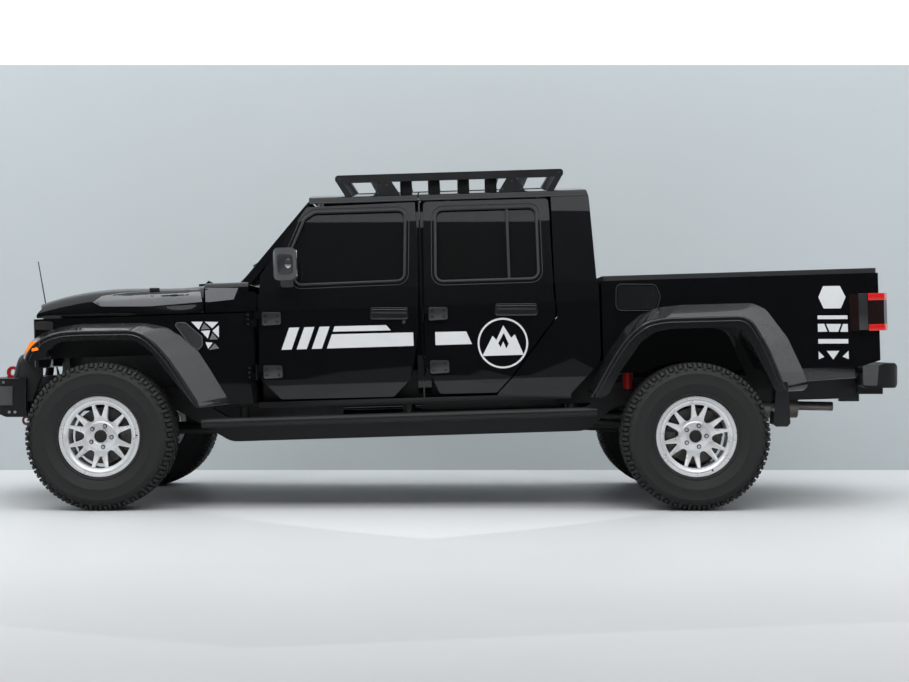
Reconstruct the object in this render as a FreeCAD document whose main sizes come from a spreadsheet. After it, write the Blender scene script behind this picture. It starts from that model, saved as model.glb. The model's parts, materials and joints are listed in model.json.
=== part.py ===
import FreeCAD, Part
import math
import os
from types import SimpleNamespace
from FreeCAD import Placement, Rotation, Vector

# Lifted off-road pickup with four doors, a separate ladder frame and solid axles.
# Lengths are millimetres. The sketches use the vehicle's own frame: X forward from the front
# axle, Y to the left, Z up from the ground. The body and its frame then lean forward a little,
# because the rear stands higher, while the axles and wheels stay level.

SIZES = [
    ("wheelbase", 3487, "front axle to rear axle"),
    ("front_overhang", 850, "front axle to the nose of the bumper"),
    ("rear_overhang", 1235, "rear axle to the back of the rear bumper"),
    ("rake_deg", 1.75, "lean of the body, nose down"),
    ("panel_gap", 9, "gap between neighbouring panels"),
    ("moving_gap", 7, "least gap round a moving piece"),
    ("seat_gap", 0.3, "clearance of a seated piece"),
    ("overrun", 40, "how far a cut runs past the material"),
    ("sheet_wall", 4, "plain sheet metal wall"),
    ("tyre_radius", 432, "tyre, outside"),
    ("tyre_width", 317, "tyre, across the sidewalls"),
    ("tread_width", 272, "tyre, across the tread"),
    ("tread_depth", 15, "depth of the tread blocks"),
    ("bead_radius", 217, "rim, bead seat"),
    ("bead_width", 236, "rim, between the bead seats"),
    ("lip_radius", 238, "rim, outer lip"),
    ("rim_wall", 11, "rim barrel wall"),
    ("track", 1700, "between the middles of the tyres"),
    ("hub_offset", 18, "hub face outboard of the tyre's middle"),
    ("hub_radius", 84, "wheel hub pad"),
    ("hub_depth", 52, "wheel hub pad, along the axle"),
    ("hub_bore_radius", 35, "hub bore"),
    ("spoke_depth", 34, "thickness of the wheel's spoke disc"),
    ("disc_radius", 164, "brake disc"),
    ("disc_depth", 22, "brake disc thickness"),
    ("axle_tube_radius", 42, "axle tubes"),
    ("diff_radius", 118, "differential housing"),
    ("diff_width", 190, "differential housing across"),
    ("front_diff_side", 190, "front differential, left of the middle"),
    ("kingpin_half", 716, "kingpin to the middle of the vehicle"),
    ("kingpin_radius", 14, "kingpin"),
    ("knuckle_half_height", 86, "steering knuckle above and below the axle"),
    ("knuckle_depth", 62, "steering knuckle across"),
    ("yoke_plate", 24, "axle yoke lugs"),
    ("steering_arm", 152, "kingpin to the tie rod's pin"),
    ("tie_rod_radius", 16, "tie rod"),
    ("tie_rod_drop", 64, "tie rod below the axle"),
    ("rail_width", 70, "frame rail across"),
    ("rail_height", 140, "frame rail height"),
    ("rail_half", 410, "frame rail to the middle of the vehicle"),
    ("rail_low", 350, "bottom of the frame between the axles"),
    ("rail_front", 566, "bottom of the frame over the front axle"),
    ("rail_rear", 500, "bottom of the frame over the rear axle"),
    ("rail_nose", 585, "front end of the frame, from the front axle"),
    ("rail_tail", 1080, "rear end of the frame, from the rear axle"),
    ("cross_width", 80, "crossmember along the vehicle"),
    ("cross_height", 46, "crossmember height"),
    ("sill_bottom", 593, "lower edge of the cab's sides"),
    ("floor_top", 600, "top of the cab's floor"),
    ("floor_depth", 38, "cab floor thickness"),
    ("sill_half", 772, "half width at the sill"),
    ("waist_half", 800, "half width at the doors"),
    ("waist_low", 690, "lower end of the upright part of the doors"),
    ("waist_high", 1140, "upper end of the upright part of the doors"),
    ("belt_half", 782, "half width at the windows' lower edge"),
    ("belt_height", 1255, "height of the windows' lower edge"),
    ("gutter_half", 660, "half width at the roof's side"),
    ("gutter_height", 1776, "height of the roof's side edge"),
    ("door_skin", 30, "outer layer of a door"),
    ("door_depth", 100, "whole door"),
    ("door_inset", 24, "door's inner layer behind its outline"),
    ("frame_depth", 42, "window frame of a door"),
    ("glass_depth", 5, "glass"),
    ("glass_inset", 14, "glass behind the outer surface"),
    ("front_door_nose", 937, "front door's front edge behind the front axle"),
    ("front_door_length", 966, "front door"),
    ("front_door_bottom", 606, "front door's lower edge"),
    ("front_door_height", 1163, "front door"),
    ("rear_door_nose", 1926, "rear door's front edge behind the front axle"),
    ("rear_door_length", 781, "rear door"),
    ("rear_door_bottom", 612, "rear door's lower edge"),
    ("rear_door_height", 1157, "rear door"),
    ("hinge_reach", 26, "door hinge pin outboard of the doors"),
    ("hinge_lead", 8, "door hinge pin ahead of the door's edge"),
    ("hinge_pin", 5, "hinge pin"),
    ("hinge_barrel", 9, "hinge barrel"),
    ("hinge_height", 92, "door hinge, up and down"),
    ("hinge_strap", 150, "door hinge's strap, from the pin"),
    ("hinge_leaf", 62, "hinge's leaf on the body, from the pin"),
    ("hinge_plate", 10, "thickness of a hinge's leaves"),
    ("hinge_low", 776, "height of the lower door hinges"),
    ("hinge_high", 1092, "height of the upper door hinges"),
    ("pin_gap", 0.6, "clearance round hinge pins and between their barrels"),
    ("pillar_depth", 118, "pillars and quarters, inwards"),
    ("pillar_width", 9, "strip between the doors"),
    ("quarter_back", 2970, "back of the cab's sides behind the front axle"),
    ("cab_wall", 42, "cab's back panel thickness"),
    ("hood_nose", 385, "front edge of the hood ahead of the front axle"),
    ("hood_tail", 612, "rear edge of the hood behind the front axle"),
    ("hood_side", 1140, "lower edge of the hood's sides"),
    ("hood_rise", 178, "height of the hood above its lower edge"),
    ("hood_front_half", 612, "half width of the hood in front"),
    ("hood_rear_half", 742, "half width of the hood behind"),
    ("hood_skin", 30, "hood thickness"),
    ("hood_hinge_half", 480, "hood hinges to the middle"),
    ("hood_hinge_lift", 14, "hood hinge pins above the cowl"),
    ("cowl_rear_half", 786, "half width of the cowl at the doors"),
    ("cowl_tail", 928, "rear edge of the cowl behind the front axle"),
    ("cowl_top", 1316, "top of the cowl"),
    ("screen_foot", 838, "lower edge of the windscreen frame behind the front axle"),
    ("screen_head", 1249, "upper edge of the windscreen frame behind the front axle"),
    ("screen_top", 1799, "upper edge of the windscreen frame"),
    ("screen_depth", 48, "windscreen frame thickness"),
    ("screen_pillar", 66, "windscreen frame's side bars"),
    ("screen_foot_half", 716, "half width at the windscreen's foot"),
    ("wing_half", 796, "half width of the front wings"),
    ("wing_inner_half", 470, "inner wall of the front wings"),
    ("wing_skin", 24, "front wing wall"),
    ("wing_nose", 400, "front edge of the wings ahead of the front axle"),
    ("flare_half", 937, "half width over the wheel flares"),
    ("flare_lip", 30, "upright edge of the flares, across"),
    ("mud_guard_half", 918, "half width over the mud guards"),
    ("grille_bow", 96, "how far the grille bows forward"),
    ("grille_depth", 46, "grille thickness"),
    ("grille_bottom", 838, "lower edge of the grille"),
    ("grille_top", 1131, "upper edge of the grille"),
    ("grille_half", 598, "half width of the grille"),
    ("lamp_radius", 88, "head lamp"),
    ("lamp_half", 452, "head lamps to the middle"),
    ("lamp_height", 1040, "height of the head lamps"),
    ("roof_edge", 1778, "underside of the roof's side"),
    ("roof_crown", 1852, "top of the roof"),
    ("roof_skin", 44, "roof thickness"),
    ("roof_half", 664, "half width of the roof"),
    ("roof_joint", 1906, "joint of the front roof panels and the hardtop"),
    ("hardtop_back", 2960, "back of the hardtop behind the front axle"),
    ("hardtop_lean", 24, "how far the hardtop's back leans forward up to the roof"),
    ("bed_front", 2984, "front of the bed behind the front axle"),
    ("bed_back", 4628, "rear end of the bed's sides"),
    ("bed_floor", 735, "top of the bed's floor"),
    ("bed_top", 1255, "top of the bed's sides"),
    ("bed_half", 796, "half width of the bed"),
    ("bed_wall", 92, "bed's side walls"),
    ("bed_sheet", 34, "bed's floor"),
    ("bed_front_wall", 40, "bed's front wall"),
    ("well_half", 590, "inner side of the wheel wells"),
    ("gate_back", 4640, "back of the tailgate behind the front axle"),
    ("gate_depth", 58, "tailgate thickness"),
    ("gate_bottom", 731, "lower edge of the tailgate"),
    ("gate_drop", 12, "top of the tailgate below the bed's sides"),
    ("cover_depth", 30, "bed cover"),
    ("bumper_low", 530, "lower edge of the front bumper"),
    ("bumper_high", 762, "upper edge of the front bumper"),
    ("bumper_half", 600, "half width of the front bumper"),
    ("rear_bumper_low", 712, "lower edge of the rear bumper"),
    ("rear_bumper_high", 856, "upper edge of the rear bumper"),
    ("rear_step_low", 672, "lower edge of the step under the rear bumper"),
    ("rear_step_half", 700, "half width of the step under the rear bumper"),
    ("rear_bumper_half", 824, "half width of the rear bumper"),
    ("hoop_radius", 27, "bumper hoop tube"),
    ("rock_rail_half", 872, "rock rail's outer tube"),
    ("rock_rail_radius", 28, "rock rail tube"),
    ("rock_rail_height", 486, "rock rail's height"),
    ("rack_half", 640, "half width of the roof rack"),
    ("rack_top", 1945, "top of the roof rack"),
    ("rack_rail", 46, "height of the rack's side rails"),
    ("rack_wall", 30, "width of the rack's bars"),
    ("rack_front", 1413, "front of the rack behind the front axle"),
    ("rack_back", 2789, "back of the rack behind the front axle"),
    ("cage_radius", 24, "roll cage tube"),
    ("spring_radius", 58, "coil spring, outside"),
    ("spring_half", 522, "coil springs to the middle"),
    ("spring_wire", 14, "coil spring wire"),
    ("shock_radius", 27, "shock absorber body"),
    ("seat_gap_half", 115, "inner side of the front seats"),
    ("seat_half", 565, "outer side of the front seats"),
    ("seat_run", 660, "front seat, front to back"),
    ("seat_rise", 990, "front seat with its headrest"),
    ("bench_half", 590, "half width of the rear bench"),
    ("bench_run", 590, "rear bench, front to back"),
    ("bench_rise", 860, "height of the rear bench"),
    ("seat_round", 30, "rounding of the seats' outlines"),
    ("dash_low", 950, "lower edge of the dashboard"),
    ("dash_run", 235, "dashboard, front to back"),
    ("dash_rise", 302, "height of the dashboard"),
    ("dash_half", 650, "half width of the dashboard"),
    ("console_half", 105, "half width of the console"),
    ("console_run", 430, "console, front to back"),
    ("console_rise", 400, "height of the console"),
    ("wheel_reach", 400, "steering wheel behind the dashboard's front"),
    ("wheel_side", 370, "steering wheel, left of the middle"),
    ("wheel_height", 1180, "height of the steering wheel"),
    ("wheel_tilt_deg", 25, "lean of the steering wheel"),
    ("wheel_ring", 185, "steering wheel"),
    ("wheel_tube", 14, "steering wheel's rim"),
    ("column_radius", 24, "steering column"),
    ("column_length", 320, "steering column"),
    ("mirror_front", 1050, "mirrors behind the front axle"),
    ("mirror_run", 143, "mirror, front to back"),
    ("mirror_low", 1313, "lower edge of the mirrors"),
    ("mirror_rise", 190, "height of the mirrors"),
    ("mirror_inner", 846, "inner side of the mirrors"),
    ("mirror_half", 950, "half width over the mirrors"),
    ("mirror_round", 38, "rounding of the mirrors"),
    ("cage_half", 585, "roll cage's hoops to the middle"),
    ("cage_bend", 80, "bend of the roll cage's tubes"),
    ("cage_bar_half", 500, "roll cage's side bars to the middle"),
]

doc = FreeCAD.newDocument("offroad_pickup")
sheet = doc.addObject("Spreadsheet::Sheet", "Sizes")
for row, (alias, value, words) in enumerate(SIZES, start=1):
    sheet.set("A%d" % row, words)
    sheet.set("B%d" % row, str(value))
    sheet.setAlias("B%d" % row, alias)
doc.recompute()
S = SimpleNamespace(**{alias: float(sheet.get(alias)) for alias, value, words in SIZES})

LENGTH = S.front_overhang + S.wheelbase + S.rear_overhang
SHIFT = LENGTH / 2 - S.front_overhang
LEVEL = Placement(Vector(SHIFT, 0, 0), Rotation())
RAKED = Placement(Vector(SHIFT, 0, 0), Rotation(Vector(0, 1, 0), S.rake_deg))
BOTH_SIDES = (1, -1)

parts = {}


# Helpers for the sketches and features

def keep(label, thing):
    """Registers a finished sub-part under its own name."""
    thing.Label = label
    parts[label] = thing
    return thing


def words_to_expression(text):
    return " ".join("Sizes." + word if word[0].isalpha() else word for word in text.split())


def bind(feature, prop, size):
    """Sets a length, bound to the sheet where it is given in the sheet's words."""
    if isinstance(size, str):
        feature.setExpression(prop, words_to_expression(size))
    else:
        setattr(feature, prop, size)


def new_body(name, frame=RAKED):
    body = doc.addObject("PartDesign::Body", name)
    body.Placement = frame
    return body


def plane_of(body, role):
    return [plane for plane in body.Origin.OriginFeatures if plane.Role == role][0]


def rounded(points, radius=0.0, radii=None):
    """A closed outline with rounded corners, as lines and arcs."""
    corners = []
    for index, point in enumerate(points):
        here = Vector(point[0], point[1], 0)
        before = Vector(points[index - 1][0], points[index - 1][1], 0)
        after = Vector(points[(index + 1) % len(points)][0], points[(index + 1) % len(points)][1], 0)
        wanted = radii[index] if radii else radius
        back, ahead = before - here, after - here
        limit = 0.48 * min(back.Length, ahead.Length)
        angle = back.getAngle(ahead)
        if wanted <= 0 or abs(math.pi - angle) < 0.01:
            corners.append((here, None, here))
            continue
        reach = min(wanted / math.tan(angle / 2), limit)
        arc = reach * math.tan(angle / 2)
        back.normalize()
        ahead.normalize()
        middle = (back + ahead).normalize()
        centre = here + middle * (arc / math.sin(angle / 2))
        corners.append((here + back * reach, centre - middle * arc, here + ahead * reach))
    pieces = []
    for index, (start, through, end) in enumerate(corners):
        if through is not None:
            pieces.append(Part.Arc(start, through, end))
        following = corners[(index + 1) % len(corners)][0]
        if end.distanceToPoint(following) > 1e-4:
            pieces.append(Part.LineSegment(end, following))
    return pieces


def ring(x, y, radius):
    return [Part.Circle(Vector(x, y, 0), Vector(0, 0, 1), radius)]


def draw(body, role, lift, loops):
    """A sketch on one of the body's own planes, lifted along the plane's normal."""
    sketch = body.newObject("Sketcher::SketchObject", body.Name + "_outline")
    sketch.AttachmentSupport = [(plane_of(body, role), "")]
    sketch.MapMode = "FlatFace"
    sketch.AttachmentOffset = Placement(Vector(0, 0, lift), Rotation())
    for loop in loops:
        sketch.addGeometry(loop)
    return sketch


def lift_for(role, low, high):
    """Sketch height so that a pad along the plane's normal spans low to high."""
    return -high if role == "XZ_Plane" else low


def pad(body, role, low, high, *loops):
    """Material between low and high along the plane's axis."""
    sketch = draw(body, role, lift_for(role, low, high), loops)
    feature = body.newObject("PartDesign::Pad", body.Name + "_pad")
    feature.Profile = sketch
    feature.Length = high - low
    body.Tip = feature
    doc.recompute()
    return feature


def pocket(body, role, low, high, *loops):
    """A cut between low and high along the plane's axis, which has to remove material."""
    before = body.Shape.Volume
    sketch = draw(body, role, lift_for(role, low, high), loops)
    feature = body.newObject("PartDesign::Pocket", body.Name + "_pocket")
    feature.Profile = sketch
    feature.Length = high - low
    feature.Reversed = True
    body.Tip = feature
    doc.recompute()
    if not body.Shape.Volume < before:
        raise ValueError("a pocket of %s cuts nothing" % body.Name)
    return feature


def mirror(body, role="XZ_Plane"):
    """Adds the other side of the whole body."""
    feature = body.newObject("PartDesign::Mirrored", body.Name + "_mirror")
    feature.TransformMode = "Whole shape"
    feature.MirrorPlane = (plane_of(body, role), [""])
    body.Tip = feature
    doc.recompute()
    return feature


def keep_inside(body, role, low, high, reach, outline):
    """Cuts away all that lies outside an outline."""
    xs = [point[0] for point in reach]
    ys = [point[1] for point in reach]
    frame = [(min(xs), min(ys)), (max(xs), min(ys)), (max(xs), max(ys)), (min(xs), max(ys))]
    return pocket(body, role, low, high, rounded(frame), outline)


def box_outline(low, high):
    return [(low[0], low[1]), (high[0], low[1]), (high[0], high[1]), (low[0], high[1])]


def in_box(shares, nose, length, bottom, height):
    """Points of a side outline: shares back from the nose and up from the bottom."""
    return [(-nose - u * length, bottom + v * height) for u, v in shares]


def edges_where(shape, test):
    return ["Edge%d" % (number + 1) for number, edge in enumerate(shape.Edges) if test(edge)]


def fillet(body, radius, test):
    """Rounds the edges that the test picks."""
    names = edges_where(body.Shape, test)
    base = body.Tip
    feature = body.newObject("PartDesign::Fillet", body.Name + "_fillet")
    feature.Base = (base, names)
    bind(feature, "Radius", radius)
    body.Tip = feature
    doc.recompute()
    return feature


def along(edge, axis):
    """True for a straight edge along an axis of the body's own frame."""
    first, last = edge.Vertexes[0].Point, edge.Vertexes[-1].Point
    run = last - first
    return run.Length > 1 and abs(abs(getattr(run, axis)) - run.Length) < 0.01 * run.Length


def solid_node(label, shape, frame=LEVEL):
    """A sub-part whose shape comes straight from Part's own functions."""
    thing = doc.addObject("Part::Feature", label)
    thing.Shape = shape
    thing.Placement = frame
    return keep(label, thing)


def cylinder_between(start, end, radius):
    run = end - start
    return Part.makeCylinder(radius, run.Length, start, run)


def bent_tube(points, radius, bend):
    """A round tube along straight runs joined by tangent arcs."""
    pieces = []
    last = points[0]
    for index in range(1, len(points) - 1):
        here = points[index]
        back = (points[index - 1] - here).normalize()
        ahead = (points[index + 1] - here).normalize()
        angle = back.getAngle(ahead)
        reach = bend / math.tan(angle / 2)
        middle = (back + ahead).normalize()
        centre = here + middle * (bend / math.sin(angle / 2))
        start, end = here + back * reach, here + ahead * reach
        pieces.append(Part.LineSegment(last, start).toShape())
        pieces.append(Part.Arc(start, centre - middle * bend, end).toShape())
        last = end
    pieces.append(Part.LineSegment(last, points[-1]).toShape())
    path = Part.Wire(pieces)
    section = Part.Wire(Part.makeCircle(radius, points[0], points[1] - points[0]))
    return path.makePipeShell([section], True, False)


# Cab side section, seen from the front, between two depths behind the outer surface

def side_band(shallow, deep, side, low=None, high=None):
    low = S.sill_bottom if low is None else low
    high = S.gutter_height if high is None else high

    def half_at(height):
        stations = [
            (S.sill_bottom, S.sill_half),
            (S.waist_low, S.waist_half),
            (S.waist_high, S.waist_half),
            (S.belt_height, S.belt_half),
            (S.gutter_height, S.gutter_half),
        ]
        for (z0, y0), (z1, y1) in zip(stations, stations[1:]):
            if height <= z1:
                return y0 + (y1 - y0) * (height - z0) / (z1 - z0)
        return stations[-1][1]

    heights = [z for z in (S.waist_low, S.waist_high, S.belt_height) if low < z < high]
    heights = [low] + heights + [high]
    outer = [(side * (half_at(z) - shallow), z) for z in heights]
    inner = [(side * (half_at(z) - deep), z) for z in reversed(heights)]
    bend = S.overrun
    radii = [0] + [bend] * (len(heights) - 2) + [0, 0] + [bend] * (len(heights) - 2) + [0]
    return rounded(outer + inner, radii=radii)


# Hinges with a pin on the moving piece and a bored barrel below it or beside it on the body

def door_pin(nose, side):
    """A door hinge's pin, seen from above."""
    return Vector(-nose + S.hinge_lead, side * (S.waist_half + S.hinge_reach), 0)


def door_hinge_halves():
    """Lower and upper barrels of the two hinges of a door, as heights."""
    for middle in (S.hinge_low, S.hinge_high):
        low, high = middle - S.hinge_height / 2, middle + S.hinge_height / 2
        yield (low, middle - S.pin_gap / 2), (middle + S.pin_gap / 2, high)


def hinge_neck(pin, facing, face):
    """The neck from a leaf on an outer face to the barrel, seen from above."""
    side = math.copysign(1, pin.y)
    foot, outside = side * (face - S.seat_gap), side * (face + S.hinge_plate)
    return rounded([
        (pin.x + facing * 2 * S.hinge_barrel, foot), (pin.x, pin.y - side * S.hinge_barrel),
        (pin.x, pin.y + side * S.hinge_barrel), (pin.x + facing * 4 * S.hinge_barrel, outside),
        (pin.x + facing * 4 * S.hinge_barrel, foot),
    ])


def hinge_plate(pin, facing, face, reach):
    """The leaf on an outer face, seen from above."""
    side = math.copysign(1, pin.y)
    start = pin.x + facing * 3.5 * S.hinge_barrel
    return rounded(box_outline((start, side * (face - S.seat_gap)), (pin.x + facing * reach, side * (face + S.hinge_plate))))


def add_door_hinges(body, nose, side):
    pin = door_pin(nose, side)
    for lower, upper in door_hinge_halves():
        pad(body, "XY_Plane", lower[0], upper[1], hinge_plate(pin, -1, S.waist_half, S.hinge_strap))
        pad(body, "XY_Plane", upper[0], upper[1], hinge_neck(pin, -1, S.waist_half))
        pad(body, "XY_Plane", upper[0], upper[1], ring(pin.x, pin.y, S.hinge_barrel))
        pad(body, "XY_Plane", lower[0], upper[1], ring(pin.x, pin.y, S.hinge_pin))


# Doors, each with an outer layer of the whole outline and a smaller inner layer

FRONT_DOOR_shares = [
    (0.000, 0.122), (0.018, 0.638), (0.312, 0.990), (1.000, 1.000),
    (0.989, 0.332), (0.940, 0.098), (0.825, 0.000), (0.131, 0.004),
]
FRONT_WINDOW_shares = [
    (0.208, 0.752), (0.300, 0.925), (0.360, 0.957), (0.922, 0.957), (0.908, 0.594), (0.241, 0.588),
]
REAR_DOOR_shares = [
    (0.000, 0.169), (0.017, 1.000), (0.983, 0.998), (0.991, 0.509), (1.000, 0.381),
    (0.930, 0.321), (0.657, 0.084), (0.538, 0.000), (0.105, 0.002),
]
REAR_WINDOW_shares = [(0.100, 0.583), (0.112, 0.953), (0.880, 0.953), (0.880, 0.583)]


def door(label, nose, length, bottom, height, door_shares, window_shares, side):
    body = new_body(label)
    outline = in_box(door_shares, nose, length, bottom, height)
    window = in_box(window_shares, nose, length, bottom, height)
    middle = (-nose - length / 2, bottom + height / 2)
    reach = box_outline((-nose - length - S.overrun, bottom - S.overrun),
                        (-nose + S.overrun, bottom + height + S.overrun))
    across = sorted((side * (S.gutter_half - S.door_depth - S.overrun), side * (S.waist_half + S.overrun)))

    inner_top = S.belt_height - S.door_inset
    inner_low = bottom + S.door_inset
    pad(body, "YZ_Plane", -nose - length, -nose, side_band(S.door_skin, S.door_depth, side, inner_low, inner_top))
    inset = [(x + S.door_inset if x < middle[0] else x - S.door_inset / 2, z) for x, z in outline]
    keep_inside(body, "XZ_Plane", across[0], across[1], reach, rounded(inset, S.door_inset))
    pad(body, "YZ_Plane", -nose - length, -nose, side_band(0, S.door_skin + S.seat_gap, side, bottom, bottom + height))
    pad(body, "YZ_Plane", -nose - length, -nose, side_band(S.door_skin, S.frame_depth, side, inner_top, bottom + height))
    keep_inside(body, "XZ_Plane", across[0], across[1], reach, rounded(outline, S.door_inset))

    # The latch edge stays inside the circle that the door's skin swings on.
    hinge = door_pin(nose, side)
    swing = math.hypot(length + S.hinge_lead, S.hinge_reach)
    far = S.overrun + S.pillar_depth
    inward = side * (S.gutter_half - 2 * S.pillar_depth)
    outward = side * (S.waist_half + S.overrun)
    first = Vector(hinge.x - math.sqrt(swing ** 2 - (hinge.y - outward) ** 2), outward, 0)
    last = Vector(hinge.x - math.sqrt(swing ** 2 - (hinge.y - inward) ** 2), inward, 0)
    half_way = (first.y + last.y) / 2
    through = Vector(hinge.x - math.sqrt(swing ** 2 - (hinge.y - half_way) ** 2), half_way, 0)
    outside = [
        Part.Arc(first, through, last),
        Part.LineSegment(last, Vector(hinge.x - swing - far, inward, 0)),
        Part.LineSegment(Vector(hinge.x - swing - far, inward, 0), Vector(hinge.x - swing - far, outward, 0)),
        Part.LineSegment(Vector(hinge.x - swing - far, outward, 0), first),
    ]
    pocket(body, "XY_Plane", bottom - S.overrun, bottom + height + S.overrun, outside)
    pocket(body, "XZ_Plane", across[0], across[1], rounded(window, S.overrun))
    add_door_hinges(body, nose, side)
    keep(label, body)

    pane = new_body(label.replace("door", "glass"))
    pad(pane, "YZ_Plane", -nose - length, -nose,
        side_band(S.glass_inset, S.glass_inset + S.glass_depth, side, S.belt_height - S.overrun, bottom + height))
    keep_inside(pane, "XZ_Plane", across[0], across[1], reach, rounded(window, S.overrun))
    keep(label.replace("door", "glass"), pane)


for side, name in zip(BOTH_SIDES, ("left", "right")):
    door(
        "door_front_" + name, S.front_door_nose, S.front_door_length, S.front_door_bottom,
        S.front_door_height, FRONT_DOOR_shares, FRONT_WINDOW_shares, side)
    door(
        "door_rear_" + name, S.rear_door_nose, S.rear_door_length, S.rear_door_bottom,
        S.rear_door_height, REAR_DOOR_shares, REAR_WINDOW_shares, side)


# Ladder frame: two rails that rise over the axles, joined by crossmembers

RAIL_shares = [0.105, 0.205, 0.830, 0.885]


def build_ladder_frame():
    body = new_body("ladder_frame")
    rises = [-share * S.wheelbase for share in RAIL_shares]
    end = -S.wheelbase - S.rail_tail
    lower = [
        (S.rail_nose, S.rail_front), (rises[0], S.rail_front), (rises[1], S.rail_low),
        (rises[2], S.rail_low), (rises[3], S.rail_rear), (end, S.rail_rear),
    ]
    upper = [(x, z + S.rail_height) for x, z in reversed(lower)]
    inside = S.rail_half - S.rail_width / 2
    pad(body, "XZ_Plane", inside, inside + S.rail_width, rounded(lower + upper, S.rail_height))
    # Spring towers stand outside the rails over both axles.
    towers = []
    for x, z in ((0, S.rail_front), (-S.wheelbase, S.rail_rear)):
        low = z + S.rail_height / 2
        towers.append(rounded(box_outline((x - S.spring_radius, low), (x + S.spring_radius, low + S.rail_height / 4)),
                              S.sheet_wall))
    pad(body, "XZ_Plane", inside + S.rail_width - S.seat_gap, S.spring_half + S.spring_radius, *towers)
    # Mount pucks carry the cab and the bed.
    puck = S.rail_width / 2 - S.sheet_wall
    cab_pucks = (rises[1] - S.cross_width, (rises[1] + rises[2]) / 2, rises[2] + S.cross_width)
    pad(body, "XY_Plane", S.rail_low + S.rail_height - S.seat_gap, S.floor_top - S.floor_depth,
        *[ring(x, S.rail_half, puck) for x in cab_pucks])
    bed_pucks = (rises[3] - S.cross_width, end + 2 * S.cross_width)
    pad(body, "XY_Plane", S.rail_rear + S.rail_height - S.seat_gap, S.bed_floor - S.bed_sheet,
        *[ring(x, S.rail_half, puck) for x in bed_pucks])
    mirror(body)
    lift = S.rail_height - S.cross_height
    places = [
        (S.rail_nose - S.cross_width, S.rail_front + lift / 2),
        (rises[1] - S.cross_width, S.rail_low),
        ((rises[1] + rises[2]) / 2, S.rail_low),
        (rises[2], S.rail_low + lift),
        (-S.wheelbase - S.rail_tail / 4, S.rail_rear + lift),
        (end + S.cross_width, S.rail_rear + lift / 2),
    ]
    bars = [rounded(box_outline((x, low), (x + S.cross_width, low + S.cross_height)), S.cross_height / 5)
            for x, low in places]
    pad(body, "XZ_Plane", -inside - S.seat_gap, inside + S.seat_gap, *bars)
    keep("ladder_frame", body)


build_ladder_frame()


# Engine and gearbox as plain closed blocks at their real places

def build_engine():
    body = new_body("engine_block")
    bay = S.rail_half - S.rail_width / 2
    low, high = S.rail_front + S.rail_height / 4, S.hood_side - S.overrun
    outline = [
        (S.hood_nose * 0.45, low), (S.hood_nose * 0.62, (low + high) / 2), (S.hood_nose * 0.5, high),
        (-S.hood_tail * 0.75, high), (-S.hood_tail * 0.85, low),
    ]
    pad(body, "XZ_Plane", -bay * 0.62, bay * 0.62, rounded(outline, S.overrun))
    pad(body, "XY_Plane", high - S.seat_gap, high + S.overrun,
        rounded(box_outline((-S.hood_tail * 0.6, -bay * 0.4), (S.hood_nose * 0.3, bay * 0.4)), S.overrun))
    # Engine mounts reach the rails.
    pad(body, "XZ_Plane", -bay, bay,
        rounded(box_outline((-S.cross_width, low), (S.cross_width / 2, low + S.cross_height / 2)), S.sheet_wall))
    keep("engine_block", body)


build_engine()


GEARBOX_shares = [
    (0.0, 2.0), (3.0, 1.1), (8.0, 0.7), (10.0, 0.7), (10.0, -1.0),
    (7.4, -1.0), (7.2, -0.5), (3.0, -0.8), (0.0, -0.4),
]
def build_gearbox():
    body = new_body("gearbox")
    front = -S.hood_tail * 0.85
    height = S.rail_low + S.rail_height * 0.9
    half = S.knuckle_half_height
    outline = [(front - u * half, height + v * half) for u, v in GEARBOX_shares]
    pad(body, "XZ_Plane", -1.3 * half, 1.3 * half, rounded(outline, S.overrun))
    keep("gearbox", body)


build_gearbox()


def trimmed(label, base, *neighbours):
    """Seats a piece flush: what its neighbours fill is cut from it."""
    cut = doc.addObject("Part::Cut", label)
    cut.Base = base
    if len(neighbours) == 1:
        cut.Tool = neighbours[0]
    else:
        joined = doc.addObject("Part::Compound", label + "_neighbours")
        joined.Links = list(neighbours)
        cut.Tool = joined
    doc.recompute()
    return keep(label, cut)


def piece(name, shape, frame=LEVEL):
    """An unnamed helper solid, placed in its frame."""
    thing = doc.addObject("Part::Feature", name)
    thing.Shape = shape
    thing.Placement = frame
    return thing


def block(x0, x1, y0, y1, z0, z1):
    """A block between two corners."""
    return Part.makeBox(abs(x1 - x0), abs(y1 - y0), abs(z1 - z0), Vector(min(x0, x1), min(y0, y1), min(z0, z1)))


def both(shape):
    """A shape and its mirror image across the vehicle's middle."""
    return Part.makeCompound([shape, shape.mirror(Vector(0, 0, 0), Vector(0, 1, 0))])


def fused(shapes):
    solid = shapes[0]
    for other in shapes[1:]:
        solid = solid.fuse(other)
    return solid.removeSplitter()


# Hood, lofted through crowned sections and hollowed from below

HOOD_RISE_shares = [(0.000, 0.28), (0.088, 0.53), (0.227, 0.775), (0.370, 0.915), (0.540, 0.970), (1.000, 1.000)]
HOOD_SECTION_shares = [(1.000, 0.00), (0.994, 0.42), (0.950, 0.80), (0.820, 0.95), (0.450, 1.00), (0.000, 1.02)]


def hood_section(half, rise):
    """Crowned outline across the hood, closed along its lower edge."""
    right = [(-u * half, S.hood_side + v * rise) for u, v in HOOD_SECTION_shares]
    left = [(-y, z) for y, z in reversed(right[:-1])]
    curve = Part.BSplineCurve()
    curve.interpolate([Vector(y, z, 0) for y, z in right + left])
    return [curve, Part.LineSegment(Vector(half, S.hood_side, 0), Vector(-half, S.hood_side, 0))]


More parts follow.
